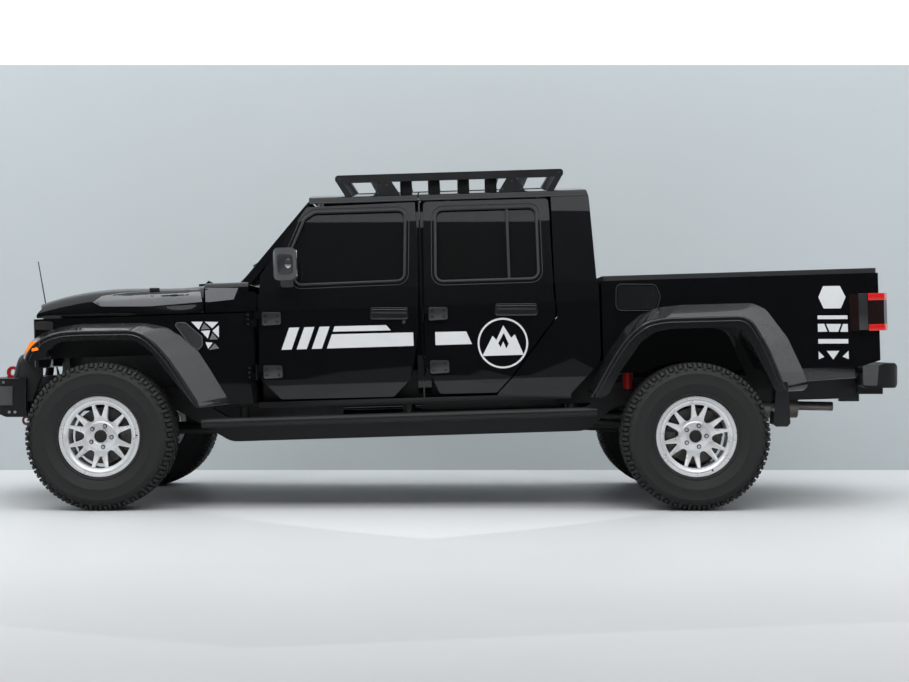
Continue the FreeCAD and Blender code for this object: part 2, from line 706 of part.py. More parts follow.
def loft(body, kind, stations, role="YZ_Plane", ruled=False):
    """A loft through outlines that stand across one of the body's axes."""
    sketches = [draw(body, role, lift, [outline]) for lift, outline in stations]
    feature = body.newObject("PartDesign::" + kind, body.Name + "_loft")
    feature.Profile = sketches[0]
    feature.Sections = sketches[1:]
    feature.Ruled = ruled
    body.Tip = feature
    doc.recompute()
    return feature


def bow(outer_half, sag, x):
    """An arc across the vehicle that bows forward by sag, as three points."""
    return Vector(x, -outer_half, 0), Vector(x + sag, 0, 0), Vector(x, outer_half, 0)


def hood_pin():
    return Vector(-S.hood_tail - S.panel_gap / 2, S.cowl_top + S.hood_hinge_lift, 0)


def add_hood_hinge(body, facing, sink):
    """Leaves and barrels on top of the hood, or on top of the cowl beside them."""
    pin = hood_pin()
    half = S.hood_hinge_half
    reach = S.hinge_height / 2 - S.hinge_barrel
    low, high = (half + S.pin_gap / 2, half + reach) if facing > 0 else (half - reach, half - S.pin_gap / 2)
    top = S.cowl_top + S.hinge_plate / 2
    leaf = rounded([
        (pin.x, pin.y + S.hinge_barrel), (pin.x, pin.y - S.hinge_barrel), (pin.x + facing * 2 * S.hinge_barrel, S.cowl_top - sink),
        (pin.x + facing * S.hinge_leaf, S.cowl_top - sink), (pin.x + facing * S.hinge_leaf, top),
        (pin.x + facing * 3 * S.hinge_barrel, top),
    ])
    for side in BOTH_SIDES:
        across = sorted((side * low, side * high))
        pad(body, "XZ_Plane", across[0], across[1], leaf)
        pad(body, "XZ_Plane", across[0], across[1], ring(pin.x, pin.y, S.hinge_barrel - S.sheet_wall / 4))
        whole = sorted((side * (half - reach), side * (half + reach)))
        if facing > 0:
            pad(body, "XZ_Plane", whole[0], whole[1], ring(pin.x, pin.y, S.hinge_pin))
        else:
            inner = sorted((side * (low - S.panel_gap), side * (high + S.panel_gap)))
            pocket(body, "XZ_Plane", inner[0], inner[1], ring(pin.x, pin.y, S.hinge_pin + S.pin_gap))


def build_hood():
    body = new_body("hood")
    front = S.hood_nose + S.grille_bow
    run = front + S.hood_tail

    def half_at(u):
        return S.hood_front_half + (S.hood_rear_half - S.hood_front_half) * min(1, u * 1.05)

    outer = [(front - u * run, hood_section(half_at(u), v * S.hood_rise)) for u, v in HOOD_RISE_shares]
    loft(body, "AdditiveLoft", outer)
    inner = [(S.hood_nose - S.hood_skin - u * (run - S.grille_bow - 2 * S.hood_skin),
              hood_section(half_at(u) - S.hood_skin, v * S.hood_rise - S.hood_skin))
             for u, v in HOOD_RISE_shares[1:-1] + [(1.0, 1.0)]]
    cutter = new_body("hood_inside")
    loft(cutter, "AdditiveLoft", inner)
    low = piece("hood_inside_low", block(-S.hood_tail + S.hood_skin, S.hood_nose - S.hood_skin,
                                         -S.hood_front_half + S.hood_skin, S.hood_front_half - S.hood_skin,
                                         S.hood_side - S.overrun, S.hood_side + S.seat_gap), RAKED)
    first, middle, last = bow(S.hood_front_half, S.grille_bow, S.hood_nose)
    far = front + S.overrun
    nose = [
        Part.Arc(first, middle, last),
        Part.LineSegment(last, Vector(far, S.hood_front_half + S.overrun, 0)),
        Part.LineSegment(Vector(far, S.hood_front_half + S.overrun, 0), Vector(far, -S.hood_front_half - S.overrun, 0)),
        Part.LineSegment(Vector(far, -S.hood_front_half - S.overrun, 0), first),
    ]
    pocket(body, "XY_Plane", S.hood_side - S.overrun, S.hood_side + S.hood_rise + S.overrun, nose)
    add_hood_hinge(body, 1, S.panel_gap)
    trimmed("hood", body, cutter, low)


build_hood()


# Cowl and firewall between the hood and the doors

def build_cowl():
    body = new_body("cowl")
    nose = -S.hood_tail - S.panel_gap
    side = [
        (nose, S.hood_side), (nose, S.cowl_top), (-S.screen_foot - S.screen_depth, S.cowl_top),
        (-S.screen_foot - S.screen_depth, S.belt_height), (-S.cowl_tail, S.belt_height), (-S.cowl_tail, S.hood_side),
    ]
    pad(body, "XZ_Plane", -S.waist_half, S.waist_half, rounded(side))
    plan = [(nose, -S.hood_rear_half), (-S.cowl_tail, -S.cowl_rear_half),
            (-S.cowl_tail, S.cowl_rear_half), (nose, S.hood_rear_half)]
    reach = box_outline((-S.cowl_tail - S.overrun, -S.waist_half - S.overrun), (nose + S.overrun, S.waist_half + S.overrun))
    keep_inside(body, "XY_Plane", S.hood_side - S.overrun, S.cowl_top + S.overrun, reach, rounded(plan))
    fillet(body, "overrun", lambda edge: edge.BoundBox.ZMin > S.cowl_top - 1 and edge.BoundBox.YMin * edge.BoundBox.YMax > 0)
    half = S.sill_half - S.pillar_depth
    pad(body, "YZ_Plane", -S.cowl_tail, -S.cowl_tail + S.overrun,
        rounded(box_outline((-half, S.floor_top), (half, S.hood_side + S.seat_gap))))
    add_hood_hinge(body, -1, S.seat_gap)
    keep("cowl", body)


build_cowl()


# Windscreen frame, a sloping ring on the cowl

def screen_length():
    return math.hypot(S.screen_head - S.screen_foot, S.screen_top - S.cowl_top)


def screen_frame_placement():
    slope = math.degrees(math.atan2(S.screen_top - S.cowl_top, S.screen_foot - S.screen_head))
    lean = Placement(Vector(-S.screen_foot, 0, S.cowl_top), Rotation(Vector(0, 1, 0), -slope))
    return RAKED.multiply(lean)


SCREEN_HEAD_share = 0.846


def screen_outline(inset, foot_inset):
    length = screen_length()
    foot, head = S.screen_foot_half, S.screen_foot_half * SCREEN_HEAD_share
    return [(foot_inset, -foot + inset), (length - inset, -head + inset),
            (length - inset, head - inset), (foot_inset, foot - inset)]


def build_screen():
    body = new_body("screen_frame_ring", screen_frame_placement())
    pad(body, "XY_Plane", 0, S.screen_depth, rounded(screen_outline(0, 0), radii=[0, S.overrun, S.overrun, 0]))
    window = rounded(screen_outline(S.screen_pillar, S.screen_pillar), S.overrun)
    pocket(body, "XY_Plane", -S.overrun, S.screen_depth + S.overrun, window)
    trimmed("windscreen_frame", body, parts["cowl"])
    pane = new_body("windscreen_pane", screen_frame_placement())
    pad(pane, "XY_Plane", S.glass_inset, S.glass_inset + S.glass_depth, window)
    return pane


windscreen_pane = build_screen()


# Cab sides: sill, door pillar and rear quarter on each side

def build_body_sides():
    body = new_body("body_sides")
    belt = S.belt_height - S.panel_gap
    edge = in_box(REAR_DOOR_shares[3:8], S.rear_door_nose, S.rear_door_length, S.rear_door_bottom, S.rear_door_height)
    gap = S.panel_gap * 1.4
    edge = [(x - gap, z) for x, z in edge]
    arch_foot = S.bed_front - S.rail_width * 2.8
    outline = [(edge[0][0], belt)] + edge + [
        (edge[-1][0] + gap, S.sill_bottom), (-arch_foot, S.sill_bottom),
        (-S.quarter_back + S.wing_skin, S.bed_floor + S.wing_skin), (-S.quarter_back, S.bed_floor + 3 * S.wing_skin),
        (-S.quarter_back, belt),
    ]
    pad(body, "YZ_Plane", -S.quarter_back, edge[-1][0] + gap, side_band(0, S.door_depth, 1, S.sill_bottom, belt))
    reach = box_outline((-S.quarter_back - S.overrun, S.sill_bottom - S.overrun), (-S.rear_door_nose, belt + S.overrun))
    keep_inside(body, "XZ_Plane", S.belt_half - S.door_depth - S.overrun, S.waist_half + S.overrun, reach,
                rounded(outline))
    inner = S.sill_half - S.pillar_depth - S.cab_wall
    sill = box_outline((inner, S.floor_top - S.floor_depth), (S.sill_half, S.sill_bottom + S.sheet_wall))
    pad(body, "YZ_Plane", -arch_foot, -S.cowl_tail, rounded(sill))
    strip_back = -S.rear_door_nose + S.moving_gap
    pad(body, "YZ_Plane", strip_back, strip_back + S.pillar_width,
        side_band(0, S.pillar_depth, 1, S.sill_bottom, S.gutter_height))
    pad(body, "YZ_Plane", strip_back - S.overrun, strip_back + S.overrun,
        side_band(S.door_depth + S.moving_gap, S.pillar_depth + S.moving_gap, 1, S.sill_bottom, S.gutter_height))
    pin = door_pin(S.rear_door_nose, 1)
    post = box_outline((strip_back, S.waist_half - S.seat_gap), (strip_back + S.pillar_width, pin.y))
    for lower, upper in door_hinge_halves():
        pad(body, "XY_Plane", lower[0], lower[1], rounded(post))
        pad(body, "XY_Plane", lower[0], lower[1], ring(pin.x, pin.y, S.hinge_barrel))
        pocket(body, "XY_Plane", lower[0] - S.panel_gap, lower[1] + S.panel_gap, ring(pin.x, pin.y, S.hinge_pin + S.pin_gap))
    mirror(body)
    keep("body_sides", body)


build_body_sides()


def build_cab_floor():
    body = new_body("cab_floor")
    half = S.sill_half - S.pillar_depth - S.cab_wall
    pad(body, "XY_Plane", S.floor_top - S.floor_depth, S.floor_top,
        rounded(box_outline((-S.quarter_back, -half), (-S.cowl_tail, half))))
    keep("cab_floor", body)


build_cab_floor()


def build_cab_back():
    body = new_body("cab_back_panel")
    half = S.waist_half - S.door_depth
    narrow = S.sill_half - S.pillar_depth - S.cab_wall
    outline = [(-narrow, S.floor_top), (narrow, S.floor_top), (half - S.overrun, S.waist_high - 5 * S.overrun), (half - S.panel_gap * 2, S.belt_height - S.panel_gap),
               (-half + S.panel_gap * 2, S.belt_height - S.panel_gap), (-half + S.overrun, S.waist_high - 5 * S.overrun)]
    pad(body, "YZ_Plane", -S.quarter_back, -S.quarter_back + S.cab_wall, rounded(outline))
    trimmed("cab_back_panel", body, parts["body_sides"])


build_cab_back()


# Roof: two front panels and the hardtop behind them, with one crowned section

ROOF_shares = [(1.000, 0.00), (0.985, 0.50), (0.600, 0.96)]


def roof_section():
    rise = S.roof_crown - S.roof_edge
    outer = [(u * S.roof_half, S.roof_edge + v * rise) for u, v in ROOF_shares]
    inner_half = S.roof_half - S.roof_skin
    inner_rise = rise - S.roof_skin
    inner = [(u * inner_half, S.roof_edge + v * inner_rise) for u, v in ROOF_shares]
    points = outer + [(-y, z) for y, z in reversed(outer)] + [(-y, z) for y, z in inner] + list(reversed(inner))
    soft = S.roof_skin * 12
    radii = [0, S.hoop_radius, soft, soft, S.hoop_radius, 0, 0, S.hoop_radius, soft, soft, S.hoop_radius, 0]
    return rounded(points, radii=radii)


def build_roof():
    body = new_body("roof_panels_body")
    front = -S.screen_head - S.panel_gap / 2
    pad(body, "YZ_Plane", -S.roof_joint, front, roof_section())
    trimmed("roof_panels", body, parts["windscreen_frame"])


build_roof()


def build_hardtop():
    body = new_body("hardtop")
    low = S.belt_height - S.panel_gap + S.seat_gap
    quarter_front = -S.rear_door_nose - S.rear_door_length * 0.985 - S.panel_gap * 1.4
    pad(body, "YZ_Plane", -S.hardtop_back, -S.roof_joint - S.panel_gap, roof_section())
    for side in BOTH_SIDES:
        pad(body, "YZ_Plane", -S.hardtop_back, quarter_front,
            side_band(0, S.frame_depth, side, low, S.roof_edge + S.hoop_radius))
    wall = [(S.belt_half - S.seat_gap, low), (S.gutter_half, S.roof_edge),
            (S.roof_half * 0.6, S.roof_crown - S.roof_skin / 2)]
    wall = wall + [(-y, z) for y, z in reversed(wall)]
    pad(body, "YZ_Plane", -S.hardtop_back, -S.hardtop_back + S.frame_depth, rounded(wall))
    # The back leans forward and turns into the roof in an arc.
    top = S.roof_crown + S.overrun
    lean = [(-S.hardtop_back, low), (-S.hardtop_back + S.hardtop_lean, S.roof_edge),
            (-S.hardtop_back + 2 * S.hardtop_lean, S.roof_crown - S.hoop_radius / 2),
            (-S.hardtop_back + 5 * S.hardtop_lean, S.roof_crown + S.sheet_wall), (-S.hardtop_back + 5 * S.hardtop_lean, top),
            (-S.hardtop_back - S.overrun, top), (-S.hardtop_back - S.overrun, low)]
    pocket(body, "XZ_Plane", -S.waist_half, S.waist_half,
           rounded(lean, radii=[0, 6 * S.overrun, 2 * S.overrun, 0, 0, 0, 0]))
    hole = rounded(box_outline((-S.gutter_half * 0.8, S.belt_height + 2 * S.overrun),
                               (S.gutter_half * 0.8, S.roof_edge - 2 * S.overrun)), S.overrun)
    pocket(body, "YZ_Plane", -S.hardtop_back - S.overrun, -S.hardtop_back + S.frame_depth + S.overrun, hole)
    keep("hardtop", body)
    pane = new_body("rear_window_pane")
    back = -S.hardtop_back + S.frame_depth - S.sheet_wall
    pad(pane, "YZ_Plane", back - S.glass_depth, back, hole)
    glass = doc.addObject("Part::Compound", "fixed_glass")
    glass.Links = [windscreen_pane, pane]
    doc.recompute()
    keep("fixed_glass", glass)


build_hardtop()


# Front wings with open wheel arches

FRONT_ARCH_shares = [
    (0.000, 0.00), (0.200, 0.535), (0.292, 0.80), (0.403, 0.975),
    (0.675, 1.000), (0.917, 0.990), (1.000, 0.910), (1.030, 0.640),
]
FRONT_CREASE_shares = [
    (1.212, 0.748), (1.197, 0.860), (1.146, 1.013), (1.069, 1.122), (0.943, 1.199), (0.805, 1.233),
    (0.356, 1.219), (0.219, 1.154), (0.118, 1.034), (0.004, 0.814), (-0.082, 0.524), (-0.193, 0.120),
    (-0.212, 0.000),
]
FRONT_LIP_shares = [
    (1.150, 0.735), (1.138, 0.820), (1.100, 0.930), (1.030, 1.040), (0.920, 1.108), (0.800, 1.118),
    (0.433, 1.109), (0.352, 1.055), (0.280, 0.935), (0.190, 0.720), (0.110, 0.470), (-0.008, 0.072),
    (-0.030, 0.000),
]


def front_arch(shares):
    """Points round the front wheel: shares forward and up from the arch's rear foot."""
    foot, run = -1.34 * S.tyre_radius, 1.99 * S.tyre_radius
    height = S.hood_side - S.overrun * 3.5 - S.sill_bottom + S.panel_gap * 1.2
    return [(foot + u * run, S.sill_bottom - S.panel_gap * 1.5 + v * height) for u, v in shares]


def build_wings():
    body = new_body("front_wings")
    top = S.hood_side - S.panel_gap
    arch = front_arch(FRONT_ARCH_shares)
    outline = [(-S.cowl_tail, top), (-S.cowl_tail, S.sill_bottom), (arch[0][0], S.sill_bottom)] + arch[1:] + [
        (S.wing_nose, arch[-1][1]), (S.wing_nose, top)]
    pad(body, "XZ_Plane", S.wing_inner_half, S.wing_half, rounded(outline))
    fillet(body, "overrun", lambda edge: (along(edge, "x") and edge.BoundBox.ZMin > top - 1 and edge.BoundBox.YMin > S.wing_half - 1)
           or (along(edge, "z") and edge.BoundBox.XMin > S.wing_nose - 1 and edge.BoundBox.YMin > S.wing_half - 1))
    skin = S.wing_skin
    inside = box_outline((-S.cowl_tail + skin, S.sill_bottom - S.overrun), (S.wing_nose - skin, top - skin))
    pocket(body, "XZ_Plane", S.wing_inner_half + skin, S.wing_half - skin, rounded(inside, skin))
    apron = box_outline((-S.cowl_tail - S.overrun, S.sill_bottom - S.overrun),
                        (S.wing_nose + S.overrun, S.rail_front + S.rail_height + S.overrun))
    pocket(body, "XZ_Plane", S.wing_inner_half - S.overrun, S.wing_inner_half + skin, rounded(apron))
    nose = box_outline((S.wing_nose - S.grille_depth, S.wing_inner_half - S.overrun), (S.wing_nose + S.overrun, S.grille_half))
    pocket(body, "XY_Plane", S.sill_bottom, S.hood_side, rounded(nose))
    pin = door_pin(S.front_door_nose, 1)
    for lower, upper in door_hinge_halves():
        pad(body, "XY_Plane", lower[0], upper[1], hinge_plate(pin, 1, S.wing_half, S.hinge_leaf))
        pad(body, "XY_Plane", lower[0], lower[1], hinge_neck(pin, 1, S.wing_half))
        pad(body, "XY_Plane", lower[0], lower[1], ring(pin.x, pin.y, S.hinge_barrel))
        pocket(body, "XY_Plane", lower[0] - S.panel_gap, lower[1] + S.panel_gap, ring(pin.x, pin.y, S.hinge_pin + S.pin_gap))
    mirror(body)
    trimmed("front_wings", body, parts["cowl"])


build_wings()


# Wheel flares: a wide band round each arch

REAR_ARCH_shares = [
    (0.003, 0.000), (0.087, 0.400), (0.208, 0.820), (0.291, 0.968),
    (0.378, 1.007), (0.755, 1.007), (0.812, 0.930), (0.985, 0.000),
]
WELL_share = 1.04
REAR_CREASE_shares = [
    (-0.127, 0.000), (0.039, 0.714), (0.131, 1.044), (0.221, 1.237), (0.311, 1.337), (0.458, 1.372),
    (0.880, 1.369), (0.960, 1.275), (1.085, 0.815), (1.173, 0.285), (1.211, 0.000),
]
REAR_LIP_shares = [
    (-0.085, 0.000), (0.040, 0.560), (0.110, 0.820), (0.175, 0.990), (0.245, 1.110), (0.351, 1.161),
    (0.803, 1.155), (0.860, 1.060), (0.942, 0.674), (1.000, 0.306), (1.040, 0.000),
]
MUD_GUARD_shares = [
    (0.990, 0.150), (1.055, 0.150), (1.063, -0.480), (1.045, -0.530), (0.978, -0.525), (0.962, -0.490),
]


def rear_arch(shares):
    """Points round the rear wheel: shares back and up from the arch's front foot."""
    run, height = 2.34 * S.tyre_radius, S.tyre_radius * 0.894
    return [(-S.bed_front - u * run, S.sill_bottom - S.overrun * 0.6 + v * height) for u, v in shares]


MARKER_shares = [(1.126, 1.001), (1.043, 1.011), (1.060, 0.852), (1.165, 0.830)]


def build_markers():
    markers = new_body("side_marker_pair")
    pad(markers, "XZ_Plane", S.wing_half + S.flare_lip, S.flare_half - S.flare_lip,
        rounded(front_arch(MARKER_shares), S.panel_gap))
    mirror(markers)
    trimmed("side_markers", markers, parts["front_wings"])


build_markers()
def build_flares():
    """The flares slope out from a crease on the body to an upright lip round the arch."""
    body = new_body("wheel_flares")
    reach = S.flare_half - S.flare_lip
    front = front_arch(FRONT_ARCH_shares[:-2] + [(1.000, 0.880), (1.020, 0.750)])
    rear = rear_arch(REAR_ARCH_shares)
    for arch, crease, lip in (
            (front, front_arch(FRONT_CREASE_shares), front_arch(FRONT_LIP_shares)),
            (rear, list(reversed(rear_arch(REAR_CREASE_shares))), list(reversed(rear_arch(REAR_LIP_shares))))):
        foot, edge = rounded(arch + crease, 3 * S.overrun), rounded(arch + lip, 3 * S.overrun)
        loft(body, "AdditiveLoft", [(-S.wing_half, foot), (-reach, edge)], "XZ_Plane", True)
        pad(body, "XZ_Plane", reach, S.flare_half, edge)
    pad(body, "XZ_Plane", S.wing_half, S.mud_guard_half, rounded(rear_arch(MUD_GUARD_shares), S.panel_gap))
    mirror(body)
    trimmed("wheel_flares", body, parts["front_wings"], parts["body_sides"], parts["side_markers"])


build_flares()


# Grille with round lamps, bowed across the nose

def build_grille():
    body = new_body("grille")
    half, depth = S.grille_half, S.grille_depth
    first, middle, last = bow(half, S.grille_bow, S.wing_nose + S.seat_gap)
    back = Vector(-depth, 0, 0)
    band = [Part.Arc(first, middle, last), Part.LineSegment(last, last + back),
            Part.Arc(last + back, middle + back, first + back), Part.LineSegment(first + back, first)]
    pad(body, "XY_Plane", S.grille_bottom, S.grille_top, band)
    slots = 5
    field = S.lamp_half - S.lamp_radius - S.overrun
    room = S.grille_top - S.grille_bottom - 2 * S.overrun
    pitch = room / slots
    reach = (S.wing_nose - depth - S.overrun, S.wing_nose + S.grille_bow + S.overrun)
    for number in range(slots):
        low = S.grille_bottom + S.overrun + number * pitch + pitch * 0.2
        for side in BOTH_SIDES:
            slot = box_outline((side * S.panel_gap, low), (side * field, low + pitch * 0.6))
            pocket(body, "YZ_Plane", reach[0], reach[1], rounded(slot, S.panel_gap))
    for side in BOTH_SIDES:
        pocket(body, "YZ_Plane", reach[0], reach[1], ring(side * S.lamp_half, S.lamp_height, S.lamp_radius))
    trimmed("grille", body, parts["front_wings"])


build_grille()


def build_lamps():
    body = new_body("head_lamps")
    back = S.wing_nose - S.grille_depth
    pad(body, "YZ_Plane", back, back + 2 * S.grille_depth,
        *[ring(side * S.lamp_half, S.lamp_height, S.lamp_radius - S.seat_gap) for side in BOTH_SIDES])
    keep("head_lamps", body)


build_lamps()


# Bed, tailgate, tail lamps and the cover over the bed

def gate_pin():
    """The tailgate's pins, seen from the side."""
    return Vector(-S.gate_back + S.gate_depth / 2, S.gate_bottom + S.gate_depth / 2, 0)


def build_bed():
    body = new_body("bed_box")
    half, inner = S.bed_half, S.bed_half - S.bed_wall
    low = S.bed_floor - S.bed_sheet
    section = [(-half, low), (half, low), (half, S.bed_top), (inner, S.bed_top), (inner, S.bed_floor),
               (-inner, S.bed_floor), (-inner, S.bed_top), (-half, S.bed_top)]
    pad(body, "YZ_Plane", -S.bed_back, -S.bed_front, rounded(section))
    pad(body, "YZ_Plane", -S.bed_front - S.bed_front_wall, -S.bed_front,
        rounded(box_outline((-inner - S.seat_gap, S.bed_floor - S.seat_gap), (inner + S.seat_gap, S.bed_top))))
    well = rear_arch([((u - 0.5) * WELL_share + 0.5, v * WELL_share) for u, v in REAR_ARCH_shares])
    foot = -S.bed_front - S.seat_gap
    well = [(foot, low + S.seat_gap)] + [(min(x, foot), z) for x, z in well[1:-1] if z > low + S.overrun] + [
        (well[-1][0], low + S.seat_gap)]
    arch = rear_arch(REAR_ARCH_shares)
    for side in BOTH_SIDES:
        across = sorted((side * S.well_half, side * (inner + S.seat_gap)))
        pad(body, "XZ_Plane", across[0], across[1], rounded(well, S.overrun))
        across = sorted((side * (S.well_half + S.sheet_wall * 3), side * (half + S.overrun)))
        pocket(body, "XZ_Plane", across[0], across[1], rounded(arch, 2 * S.overrun))
    recess = box_outline((-S.bed_back - S.overrun, -inner), (-S.gate_back + S.gate_depth + S.moving_gap, inner))
    pocket(body, "XY_Plane", low - S.overrun, S.bed_top + S.overrun, rounded(recess))
    pin = gate_pin()
    pocket(body, "XZ_Plane", -inner - S.overrun, inner + S.overrun, ring(pin.x, pin.y, 2 * S.hinge_pin + S.pin_gap))
    # The lower rear corners rise over the bumper's ends, and the upper ones are rounded.
    corner = [(-S.bed_back + S.bed_floor / 6, low - S.overrun), (-S.bed_back + S.bed_floor / 6, low),
              (-S.bed_back, S.bed_floor), (-S.bed_back - S.overrun, S.bed_floor), (-S.bed_back - S.overrun, low - S.overrun)]
    pocket(body, "XZ_Plane", -half - S.overrun, half + S.overrun, rounded(corner))
    keep("bed_box", body)


build_bed()


def build_tail_lamps():
    """Lamps wrap round the bed's rear corners in a bezel."""
    lamps = new_body("tail_lamps")
    inner = S.bed_half - S.bed_wall + 2 * S.moving_gap
    back, reach = -S.bed_back, S.hoop_radius * 2
    plan = [(back, inner), (back, S.bed_half), (back + 6.5 * S.hoop_radius, S.bed_half),
            (back + 6.5 * S.hoop_radius, S.bed_half + S.moving_gap), (back + 4 * S.hoop_radius, S.bed_half + 2 * S.moving_gap),
            (back - reach / 2, S.bed_half + 2 * S.moving_gap), (back - reach, S.bed_half - S.hoop_radius), (back - reach, inner)]
    top = S.bed_top - S.bed_half * 0.153
    pad(lamps, "XY_Plane", top - S.lamp_radius * 2.5, top, rounded(plan))
    mirror(lamps)
    keep("tail_lamps", lamps)


build_tail_lamps()


def build_bed_cover():
    cover = new_body("bed_cover")
    half = S.bed_half - S.hoop_radius
    pad(cover, "XY_Plane", S.bed_top, S.bed_top + S.cover_depth,
        rounded(box_outline((-S.bed_back, -half), (-S.bed_front - S.panel_gap, half)), S.hoop_radius))
    keep("bed_cover", cover)


build_bed_cover()
def build_tailgate():
    body = new_body("tailgate")
    half = S.bed_half - S.bed_wall - S.moving_gap
    top = S.bed_top - S.gate_drop
    round_foot = S.gate_depth / 2 - S.seat_gap
    side = rounded(box_outline((-S.gate_back, S.gate_bottom), (-S.gate_back + S.gate_depth, top)),
                   radii=[round_foot, round_foot, S.panel_gap, S.panel_gap])
    pad(body, "XZ_Plane", -half, half, side)
    pin = gate_pin()
    reach = S.bed_half - S.bed_wall + S.overrun - S.pin_gap
    pad(body, "XZ_Plane", -reach, reach, ring(pin.x, pin.y, 2 * S.hinge_pin))
    # A pressed panel and the handle's recess in the outer face
    inset = 3 * S.overrun
    pocket(body, "YZ_Plane", -S.gate_back - S.overrun, -S.gate_back + S.panel_gap,
           rounded(box_outline((-half + inset, S.gate_bottom + inset), (half - inset, top - 1.6 * inset)), S.overrun))
    pocket(body, "YZ_Plane", -S.gate_back - S.overrun, -S.gate_back + S.gate_depth / 2,
           rounded(box_outline((-inset, top - inset), (inset, top - inset / 3)), S.panel_gap))
    keep("tailgate", body)


build_tailgate()


# Bumpers

HOOK_share = 0.42


def build_bumpers():
    body = new_body("front_bumper_beam", LEVEL)
    nose, half = S.front_overhang, S.bumper_half
    rise = S.bumper_high - S.bumper_low
    side = [(nose, half * 0.45), (nose - 0.28 * half, half), (nose - 0.55 * half, half),
            (nose - 0.53 * half, half * 0.72), (S.rail_nose - S.hoop_radius, half * 0.7)]
    plan = side + [(x, -y) for x, y in reversed(side)]
    soft = [S.overrun, S.overrun, 0, 0, 0]
    pad(body, "XY_Plane", S.bumper_low, S.bumper_high, rounded(plan, radii=soft + soft[::-1]))
    # Chamfers under and over the nose, seen from the side
    front = nose + S.overrun
    cuts = [
        [(front, S.bumper_low - S.overrun), (nose - 0.9 * rise, S.bumper_low - S.overrun),
         (nose - 0.9 * rise, S.bumper_low), (nose, S.bumper_low + 0.35 * rise), (front, S.bumper_low + 0.35 * rise)],
        [(front, S.bumper_high + S.overrun), (front, S.bumper_high - 0.2 * rise), (nose, S.bumper_high - 0.2 * rise),
         (nose - 0.25 * rise, S.bumper_high), (nose - 0.25 * rise, S.bumper_high + S.overrun)],
    ]
    pocket(body, "XZ_Plane", -half - S.overrun, half + S.overrun, *[rounded(cut) for cut in cuts])
    hoop_low, hoop_top = S.bumper_high - S.hoop_radius, S.bumper_high + 4.4 * S.hoop_radius
    x = S.rail_nose + 1.5 * S.hoop_radius
    hoop = bent_tube([Vector(x, -half * 0.68, hoop_low), Vector(x - S.hoop_radius, -half * 0.62, hoop_top),
                      Vector(x - S.hoop_radius, half * 0.62, hoop_top), Vector(x, half * 0.68, hoop_low)],
                     S.hoop_radius, 2 * S.hoop_radius)
    tube = piece("front_bumper_hoop", hoop, LEVEL)
    joined = doc.addObject("Part::Fuse", "front_bumper_whole")
    joined.Base = body
    joined.Tool = tube
    trimmed("front_bumper", joined, parts["ladder_frame"])


build_bumpers()


def build_hooks():
    hooks = new_body("recovery_hook_pair", LEVEL)
    eye = Vector(S.front_overhang - 6 * S.hoop_radius, S.bumper_high + 1.2 * S.hoop_radius, 0)
    ear = 1.4 * S.hoop_radius
    inside = S.bumper_half * HOOK_share - S.hoop_radius / 2
    pad(hooks, "XZ_Plane", inside, inside + S.hoop_radius, ring(eye.x, eye.y, ear))
    foot = box_outline((eye.x - 1.3 * ear, S.bumper_high - S.panel_gap), (eye.x + 0.9 * ear, S.bumper_high + 0.3 * ear))
    pad(hooks, "XZ_Plane", inside, inside + S.hoop_radius, rounded(foot, S.sheet_wall))
    pocket(hooks, "XZ_Plane", inside - S.overrun, inside + 2 * S.overrun, ring(eye.x, eye.y, 0.7 * S.hoop_radius))
    mirror(hooks)
    trimmed("recovery_hooks", hooks, parts["front_bumper"])


build_hooks()


REAR_BUMPER_shares = [(0.00, 0.22), (0.00, 0.80), (0.10, 1.00), (0.46, 1.00), (1.00, 0.62), (1.00, 0.00), (0.10, 0.00)]


def build_rear_bumper():
    body = new_body("rear_bumper_beam", LEVEL)
    back, half = -S.wheelbase - S.rear_overhang, S.rear_bumper_half
    low, rise = S.rear_bumper_low, S.rear_bumper_high - S.rear_bumper_low
    run = S.rear_overhang - S.rail_tail + S.cross_width
    side = [(back + u * run, low + v * rise) for u, v in REAR_BUMPER_shares]
    pad(body, "XZ_Plane", -half, half, rounded(side, S.hoop_radius))
    step = box_outline((back + S.cross_width, S.rear_step_low), (back + run, low + S.seat_gap))
    pad(body, "XZ_Plane", -S.rear_step_half, S.rear_step_half, rounded(step, S.sheet_wall))
    # Plan outline with rounded corners; between the ends the beam stops at the frame.
    wide, tail = half + S.overrun, -S.wheelbase - S.rail_tail + S.overrun / 2
    outline = [(back, -half), (back + run, -half), (back + run, -half * 0.86), (tail, -half * 0.74)]
    outline = outline + [(x, -y) for x, y in reversed(outline)]
    soft = [3 * S.overrun, 0, S.overrun, 0]
    reach = box_outline((back - S.overrun, -wide), (back + run + S.overrun, wide))
    keep_inside(body, "XY_Plane", S.rear_step_low - S.overrun, S.rear_bumper_high + S.overrun, reach,
                rounded(outline, radii=soft + soft[::-1]))
    trimmed("rear_bumper", body, parts["ladder_frame"])


build_rear_bumper()
def build_rock_rails():
    front, back = -S.front_door_nose + 12 * S.rock_rail_radius, -S.quarter_back + S.overrun
    y, z = S.rock_rail_half, S.rock_rail_height
    tubes = [cylinder_between(Vector(front, y, z), Vector(back, y, z), S.rock_rail_radius)]
    leg_z = S.rail_low + S.rail_height - S.rock_rail_radius
    rail_face = S.rail_half + S.rail_width / 2
    for share in (0.12, 0.5, 0.88):
        x = front + (back - front) * share
        tubes.append(cylinder_between(Vector(x, rail_face, leg_z), Vector(x, y, z), S.rock_rail_radius * 0.8))
    tubes.append(block(back + S.overrun, front - S.overrun, y - 5 * S.rock_rail_radius, y, z - S.sheet_wall, z + S.sheet_wall))
    side = fused(tubes)
    whole = piece("rock_rail_pair", both(side), RAKED)
    trimmed("rock_rails", whole, parts["ladder_frame"])


build_rock_rails()


# Roof rack: two rails, slats and feet that stand on the roof's sides

